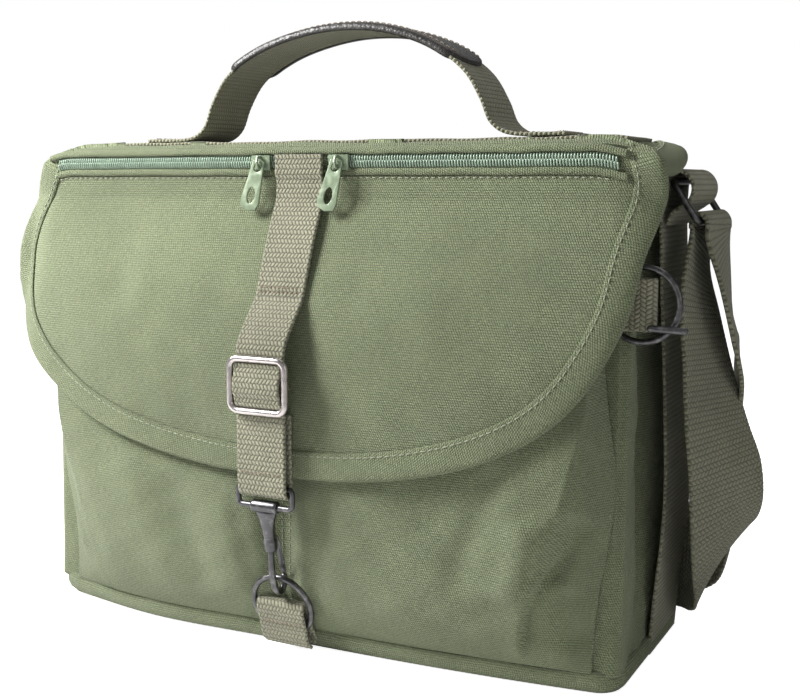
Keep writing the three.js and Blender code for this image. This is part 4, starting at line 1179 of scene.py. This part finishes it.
def trim_body(x, y, z, section):
    """A strip along x. Its section is drawn forwards and upwards."""
    return sweep_body(xyz(x, y, z), -Y, Z, section)
def make_welt():
    x = np.linspace(-ZIP_END_X - 3, ZIP_END_X + 6, 300)
    z = WELT_Z - corner_drop(x) + 0.25 * ripple(x, x * 0.2, 30, 1.0)
    section = [
        (0.6, -1.3), (1.5, -1.35), (2.3, -0.8), (2.5, 0), (2.2, 1.0), (1.3, 1.8), (0.2, 2.2), (-0.8, 1.6),
    ]
    piece("top_piping", trim_body(x, ZIP_Y + 0.1, z, section), "flap_front", CANVAS, "canvas", "zip_welt")
    # the turned-in edge of the pocket front, and the row of stitches that holds it to the zip
    x = np.linspace(-ZIP_END_X, ZIP_END_X + 6, 300)
    low = ZIP_Z - 4.5 - corner_drop(x) + 0.2 * ripple(x, x * 0.3, 34, 2.0)
    section = [(0.1, -2.6), (0.9, -2.4), (1.25, -0.8), (1.25, 0.2), (0.9, 0.8), (0.1, 1.0)]
    piece("zip_hem", trim_body(x, ZIP_Y + 0.2, low, section), "flap_front", CANVAS, "canvas")
    rows = []
    for side in SIDES.values():
        x = side * np.linspace(ZIP_INNER_X + 2, ZIP_END_X - 2, 120)
        z = ZIP_Z - 8.2 - corner_drop(x)
        rows.append(stitch_body(xyz(x, flap_y(x, z) - 0.1, z), -Y, 2.3, 1.3))
    piece("zip_stitches", join_parts(rows), "flap_front", THREAD, "canvas")


def make_zips():
    section = [(-0.2, -4.6), (0.3, -4.6), (0.45, -2.7), (0.3, 0), (0.45, 2.7), (0.3, 4.6), (-0.2, 4.6)]
    for tag, side in SIDES.items():
        teeth = []
        end = ZIP_END_X + 2 * side
        for k in range(int((end - ZIP_INNER_X) / TOOTH_PITCH)):
            x = side * (ZIP_INNER_X + 0.6 + k * TOOTH_PITCH)
            level = ZIP_Z - corner_drop(x)
            for row, shift in ((1, 0), (-1, 0.5 * TOOTH_PITCH)):
                low = np.array([x + shift * side, ZIP_Y - 0.9, level + row * 0.15])
                high = np.array([x + shift * side, ZIP_Y - 0.5, level + row * 2.6])
                middle = (low + high) / 2 - Y * 0.45
                teeth.append(wire_body([low, middle, high], 0.56, sides=6))
        piece(f"zip_teeth_{tag}", join_parts(teeth), "flap_front", TEETH, "zip_teeth", f"zip_chain_{tag}")
        x = side * np.linspace(ZIP_INNER_X, end, 60)
        tape = trim_body(x, ZIP_Y - 0.1, ZIP_Z - corner_drop(x), section)
        piece(f"zip_tape_{tag}", tape, "flap_front", TAPE, "zip_teeth")


def bevelled(node, width):
    """Rounds the edges of a copy of a CAD node, which then stands for it."""
    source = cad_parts[node]
    copy = bpy.data.objects.new(node + "_shape", source.data.copy())
    bpy.context.scene.collection.objects.link(copy)
    weld = copy.modifiers.new("weld", "WELD")
    weld.merge_threshold = 0.00001
    bevel = copy.modifiers.new("bevel", "BEVEL")
    bevel.width = width * MM
    bevel.segments = 3
    bevel.limit_method = "ANGLE"
    bevel.angle_limit = radians(35)
    shaded = bpy.context.evaluated_depsgraph_get()
    finished = bpy.data.meshes.new_from_object(copy.evaluated_get(shaded))
    copy.modifiers.clear()
    copy.data = finished
    finished.shade_smooth()
    return copy


def make_sliders():
    for tag in SIDES:
        made = bevelled(f"zip_slider_{tag}", 0.35)
        place(made, f"slider_{tag}", ENAMEL, "zip_paint", f"zip_slider_{tag}")
        made = bevelled(f"zip_pull_{tag}", 0.3)
        hinge = Vector((SIDES[tag] * SLIDER_X, PULL_AXIS[1], PULL_AXIS[2])) * MM
        lean = Matrix.Rotation(radians(PULL_LEAN), 4, "Y")
        made.data.transform(Matrix.Translation(hinge) @ lean @ Matrix.Translation(-hinge))
        place(made, f"pull_{tag}", ENAMEL, "zip_paint", f"zip_pull_{tag}")


# ---- carry handle ----

def make_handle():
    lift = 0.2 + WEBBING / 2
    x = np.linspace(-160, 160, 90)
    low = xyz(x, HANDLE_Y, flap_top(x, np.full_like(x, 0.44))[:, 2] + lift)
    place(webbing("handle_runner", low, Y, HANDLE_WIDTH), "flap", WEB, "webbing", "handle_base")
    level = RUNNER_Z + 2 * GAP + 1.5 * WEBBING
    near, far, wide = 9, 31, 16
    crossed = [((near, -wide), (near, wide)), ((far, -wide), (far, wide)),
               ((near, -wide), (far, wide)), ((near, wide), (far, -wide))]
    t = np.linspace(0, 1, 12)
    for tag, side in SIDES.items():
        end = HANDLE_PATH[0][0] if side < 0 else HANDLE_PATH[-1][0]
        rows = []
        for (x0, y0), (x1, y1) in crossed:
            path = xyz(end + side * lerp(x0, x1, t), HANDLE_Y + lerp(y0, y1, t), level + TACK_OUT)
            rows.append(stitch_body(path, Z, 2.2, 0.9))
        piece(f"handle_tack_{tag}", join_parts(rows), "flap", DARK_THREAD, "webbing")
    (first, _), (last, _) = HANDLE_PATH[0], HANDLE_PATH[-1]
    left = [(first - 34, level), (first - 20, level), (first - 8, level + 0.2)]
    right = [(last + 8, level + 0.2), (last + 20, level), (last + 34, level)]
    route = through([(x, HANDLE_Y, z) for x, z in left + HANDLE_PATH + right], 420)
    made = webbing("handle_strap", route, Y, HANDLE_WIDTH)
    place(made, None, WEB, "webbing", "handle_loop", "handle_foot_left", "handle_foot_right")
    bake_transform(made)
    make_grip(route)


def make_grip(route):
    """Leather pad wrapped over the top of the handle: its ends come to rounded points."""
    chosen = route[(np.abs(route[:, 0]) < 71) & (route[:, 2] > 292)]
    path = respace(chosen, 170)
    t = tangents(path)
    up = np.cross(t, Y)
    up = np.where(up[:, 2:] < 0, -up, up)
    s = np.linspace(-1, 1, len(path))
    taper = np.sqrt(np.maximum(0.0, 1 - np.maximum(0, (np.abs(s) - 0.84) / 0.16) ** 2.2))
    reach = lerp(0.18, 1, taper)
    half = HANDLE_WIDTH / 2
    low = WEBBING / 2 + 0.3
    sections = []
    for k, r in enumerate(reach):
        crown = low + 1.9 * lerp(0.55, 1, taper[k])
        wrap = half * r
        drop = -low * smooth((r - 0.75) / 0.25)
        outer = wrap + 2.0 * smooth((r - 0.7) / 0.3)
        edge = [(outer - 0.4, drop - 0.4), (outer, drop * 0.4 + 0.4), (outer - 0.5, crown * 0.75)]
        shoulder = [(wrap * 0.86, crown * 0.98), (wrap * 0.5, crown + 0.15)]
        right = [(wrap - 0.2, low * 0.8), (wrap - 0.2, drop), *edge, *shoulder]
        left = [(-across, height) for across, height in reversed(right)]
        sections.append([*left[-3:], (0, low * 0.8), *right, (0, crown + 0.25), *left[:-3]])
    pad = sweep_body(path, Y, up, sections)
    piece("grip_leather", pad, "handle", LEATHER, "leather", "handle_grip")
    rows = []
    for side in (-1, 1):
        inside = path + up * (low + 1.95) + Y * side * (half * reach * 0.84)[:, None]
        rows.append(stitch_body(inside[6:-6], up[6:-6], 2.4, 1.2, 0.3))
    piece("grip_stitches", join_parts(rows), "handle", DARK_THREAD, "leather")


# ---- closure strap, hook and ring ----

def strap_face(z):
    return flap_smooth_y(0.0, z) - 1 - WEBBING / 2


def mid_path(points, count):
    """A smooth path through (y, z) points in the bag's middle plane."""
    return through([(0, y, z) for y, z in points], count)


def tack_row(half, y, z, space):
    """Stitches in a straight row across the front of a band."""
    return stitch_body(xyz(np.linspace(-half, half, 14), y, z), -Y, TACK_STITCH, space)


def make_closure_strap():
    z = np.linspace(STRAP_TOP_Z + 4, BAR_TACK_Z + GAP, 60)
    over_zip = 1.7 * smooth((z - ZIP_Z + 10.4) / 5)
    loose = 1.6 * np.sin(pi * (z - BAR_TACK_Z) / (STRAP_TOP_Z - BAR_TACK_Z)) ** 2
    path = xyz(0.0, strap_face(z) - over_zip - loose, z)
    place(webbing("strap_upper", path, X), "flap_front", WEB, "webbing", "strap_sewn")

    face, front, back = strap_face(BAR_TACK_Z), FRONT_LAYER_Y, BACK_LAYER_Y
    path = mid_path([
        (face, BAR_TACK_Z), (lerp(face, front, 0.33), 177), (lerp(face, front, 0.66), 170),
        (lerp(face, front, 0.92), 163), (front, 157), (front, 130), (front, 110), (front, EYE_Z + 1),
        (lerp(EYE_Y, front, 0.72), EYE_Z - 2), (EYE_Y, EYE_Z - 3.2), (lerp(EYE_Y, back, 0.72), EYE_Z - 2),
        (back, EYE_Z + 1), (back, 110), (back, 128),
    ], 200)
    place(webbing("strap_lower", path, X), "strap", WEB, "webbing", "strap_free")

    rows = [tack_row(13, strap_face(z) - TACK_OUT, z, 0.7) for z in (BAR_TACK_Z + 3.2, BAR_TACK_Z + 5.4)]
    piece("bar_tack", join_parts(rows), "flap_front", DARK_THREAD, "webbing")
    row = tack_row(13, front - TACK_OUT, EYE_Z + 9, 0.8)
    piece("eye_tack", row, "strap", DARK_THREAD, "webbing")


def make_buckle():
    loop = loop_path(np.array([0, BUCKLE_Y, BUCKLE_Z]), X, Z, WIRE_LOOP_HALF, 13, 4.6)
    outer = wire_body(loop, 1.75, sides=16, closed=True)
    behind = FRONT_LAYER_Y + WEBBING / 2 + GAP + 1.3
    shallow = [(-WIRE_LOOP_HALF, BUCKLE_Y), (-15.7, behind - 0.6), (-13, behind), (0, behind), (13, behind),
               (15.7, behind - 0.6), (WIRE_LOOP_HALF, BUCKLE_Y)]
    bar = wire_body(through([(x, y, BUCKLE_Z) for x, y in shallow], 60), 1.25)
    piece("buckle_wire", join_parts([outer, bar]), "buckle", NICKEL, "nickel", "slide_buckle")
    # the strap's own end, turned over the middle bar and sewn down
    front = FRONT_LAYER_Y - WEBBING - 0.35
    turned = [(0.2, 11), (-0.4, 7), (-1.9, 2.5), (-2.3, -0.5), (-1.7, -4), (-0.3, -8), (0.2, -11)]
    path = mid_path([(front + out, BUCKLE_Z + up) for out, up in turned], 60)
    place(webbing("buckle_fold", path, X, STRAP_WIDTH - 1.2), "buckle", WEB, "webbing")
    row = tack_row(12.5, front - 1.95, BUCKLE_Z + 3.5, 0.8)
    piece("buckle_stitches", row, "buckle", DARK_THREAD, "webbing")


def hang(points):
    """Hook parts are drawn hanging from the barrel's axis, then leaned in towards the ring."""
    points = np.atleast_2d(np.asarray(points, dtype=float))
    c, s = cos(HOOK_TILT), sin(HOOK_TILT)
    x, y, z = points.T
    return xyz(x, y * c - z * s + EYE_Y, y * s + z * c + BARREL_Z)


def make_hook():
    eye = loop_path(np.array([0, EYE_Y, EYE_Z - 3.8]), X, Z, WIRE_LOOP_HALF, 5, 2.4)
    gunmetal("hook_loop", "hook_eye", "hook_eye", wire_body(eye, 1.5, sides=16, closed=True))

    barrel_x = np.array([-7.6, -7.4, -6.9, -6, 6, 6.9, 7.4, 7.6])
    barrel_r = np.array([1.9, 2.7, 3.05, 3.15, 3.15, 3.05, 2.7, 1.9])
    path = hang(xyz(barrel_x, 0, 0))
    barrel = sweep_body(path, Y, Z, circle(1, 24)[None] * barrel_r[:, None, None])
    down = np.array([-1.5, -3.4, -5.5, -8, -11, -14, -17.6, -18.4, -19.4, -23.4, -24.6, -25])
    wide = np.array([6.2, 6.0, 5.2, 4.3, 3.8, 3.4, 3.1, 3.5, 3.6, 3.4, 3.0, 1.6])
    deep = np.array([2.5, 2.7, 2.8, 2.9, 3.0, 3.1, 3.1, 3.5, 3.6, 3.4, 3.0, 1.6])
    path = hang(xyz(0, 0, down))
    back = hang(Y)[0] - hang(Y * 0)[0]
    sections = circle(1, 24)[None] * np.stack([wide, deep], axis=-1)[:, None, :]
    socket = sweep_body(path, X, back, sections)
    bent = [(0, -22), (-1.6, -30), (-2.4, -38), (-1.2, -46), (2.6, -49.6), (6.4, -47.6), (7.6, -43.4)]
    shank = wire_body(hang(mid_path(bent, 70)), 1.75, sides=16)
    gunmetal("hook_shape", "hook", "hook_body", join_parts([barrel, socket, shank]))
    leaf = hang(mid_path([(4.4, -18.5), (5.6, -22), (6.6, -30), (7.6, -40.8)], 40))
    section = circle(1, 16) * np.array([1.7, 0.75])
    spring = sweep_body(leaf, X, np.cross(tangents(leaf), X), section)
    gunmetal("hook_leaf", "gate", "hook_gate", spring)


def make_closure_ring():
    up = np.array([0, -sin(RING_LEAN), cos(RING_LEAN)])
    out = np.array([0, -cos(RING_LEAN), -sin(RING_LEAN)])
    ring = wire_body(ring_path(CLOSURE_RING, X, up, RING_RADIUS), RING_WIRE, closed=True)
    gunmetal("ring_wire", "closure_ring", "closure_ring", ring)
    half = RING_WIRE + GAP + WEBBING / 2
    at = lambda rise, forward: CLOSURE_RING + up * rise + out * forward
    path = through([
        (0, -62.7, 3), (0, -63.6, 7.6), at(-12, -half), at(0, -half), at(1.8, -half * 0.75), at(2.6, 0),
        at(1.8, half * 0.75), at(0, half), at(-12, half), at(-19, half), (0, -67.4, 2.6),
    ], 120)
    place(webbing("ring_tab", path, X), "closure_tab", WEB, "webbing", "closure_tab")
    line = at(-8.5, half + WEBBING / 2 + 0.2) + np.linspace(-12.5, 12.5, 14)[:, None] * X
    row = stitch_body(line, out, TACK_STITCH, 0.8)
    piece("ring_tab_stitches", row, "closure_tab", DARK_THREAD, "webbing")


# ---- sides ----

def make_side_band(tag, side):
    """Webbing sewn up the side, folded over the strap's ring at the top and sewn down again."""
    face = BODY_HALF + GUSSET_OUT + GAP + WEBBING / 2
    x, z = STRAP_RING_TOP
    drawn = [
        (face + 0.6, 2.5), (face + 2.4, 28), (face + 6.5, 80), (face + 4.8, 140), (face + 1.4, 200),
        (face + 0.5, z - 7), (x - 4.4, z + 1.4), (x - 0.6, z + 4.7), (x + 4.5, z + 4.4), (x + 8.4, z + 0.8),
        (x + 9.6, z - 4), (x + 8, z - 9), (x + 4, z - 12.2), (x - 0.4, z - 15.4), (x - 2.6, z - 21),
    ]
    path = through([(side * x, SIDE_WEB_Y, z) for x, z in drawn], 400)
    made = webbing(f"side_band_{tag}", path, Y, SIDE_WEB_WIDTH)
    place(made, "body", WEB, "webbing", f"side_webbing_{tag}")


def make_strap_ring(tag, side):
    low, high = STRAP_RING_LOW, STRAP_RING_TOP
    (x, z), (run, climb) = (low + high) / 2, high - low
    rise = np.array([side * run, 0, climb])
    centre = np.array([side * x, SIDE_WEB_Y, z])
    path = loop_path(centre, Y, unit(rise), STRAP_RING_HALF, np.linalg.norm(rise) / 2, 4)
    wire = wire_body(path, STRAP_RING_WIRE, sides=16, closed=True)
    gunmetal(f"strap_loop_{tag}", "body", f"strap_ring_{tag}", wire)


def make_side_tab(tag, side):
    """A folded tab and the round ring that it holds."""
    half = RING_WIRE + GAP + WEBBING / 2
    mid, front, back = SIDE_RING_Y, SIDE_RING_Y - half, SIDE_RING_Y + half
    fold = TAB_FOLD_X
    drawn = [
        (160, back), (172, back), (fold - 2.6, back), (fold - 0.7, lerp(mid, back, 0.7)), (fold, mid),
        (fold - 0.7, lerp(mid, front, 0.7)), (fold - 2.6, front), (172, front), (160, front),
    ]
    tab = through([(side * x, y, TAB_Z) for x, y in drawn], 80)
    place(webbing(f"ring_band_{tag}", tab, Z, TAB_WIDTH), "body", WEB, "webbing", f"side_tab_{tag}")
    path = ring_path(np.array([side * SIDE_RING_X, SIDE_RING_Y, TAB_Z]), X, Z, RING_RADIUS)
    ring = wire_body(path, RING_WIRE, closed=True)
    gunmetal(f"round_ring_{tag}", f"side_ring_{tag}", f"side_ring_{tag}", ring)


def make_sides():
    for tag, side in SIDES.items():
        make_side_band(tag, side)
        make_strap_ring(tag, side)
        make_side_tab(tag, side)
    y = SIDE_RING_Y - RING_WIRE - 2 * GAP - WEBBING - PIN_RADIUS
    z = TAB_Z - PIN_DROP
    pin = wire_body([(PIN_START_X, y, z), (PIN_END_X - PIN_RADIUS, y, z - 0.4)], PIN_RADIUS)
    gunmetal("pin_bar", "body", "side_pin_right", pin)


# ---- build ----

make_camera()
make_shoulder_strap()
make_studio()
make_floor()
make_base()
make_board()
make_front_and_back()
make_pocket()
make_gussets()
make_flap_front()
make_edge_tape()
make_flap_top()
make_welt()
make_zips()
make_sliders()
make_handle()
make_closure_strap()
make_buckle()
make_hook()
make_closure_ring()
make_sides()
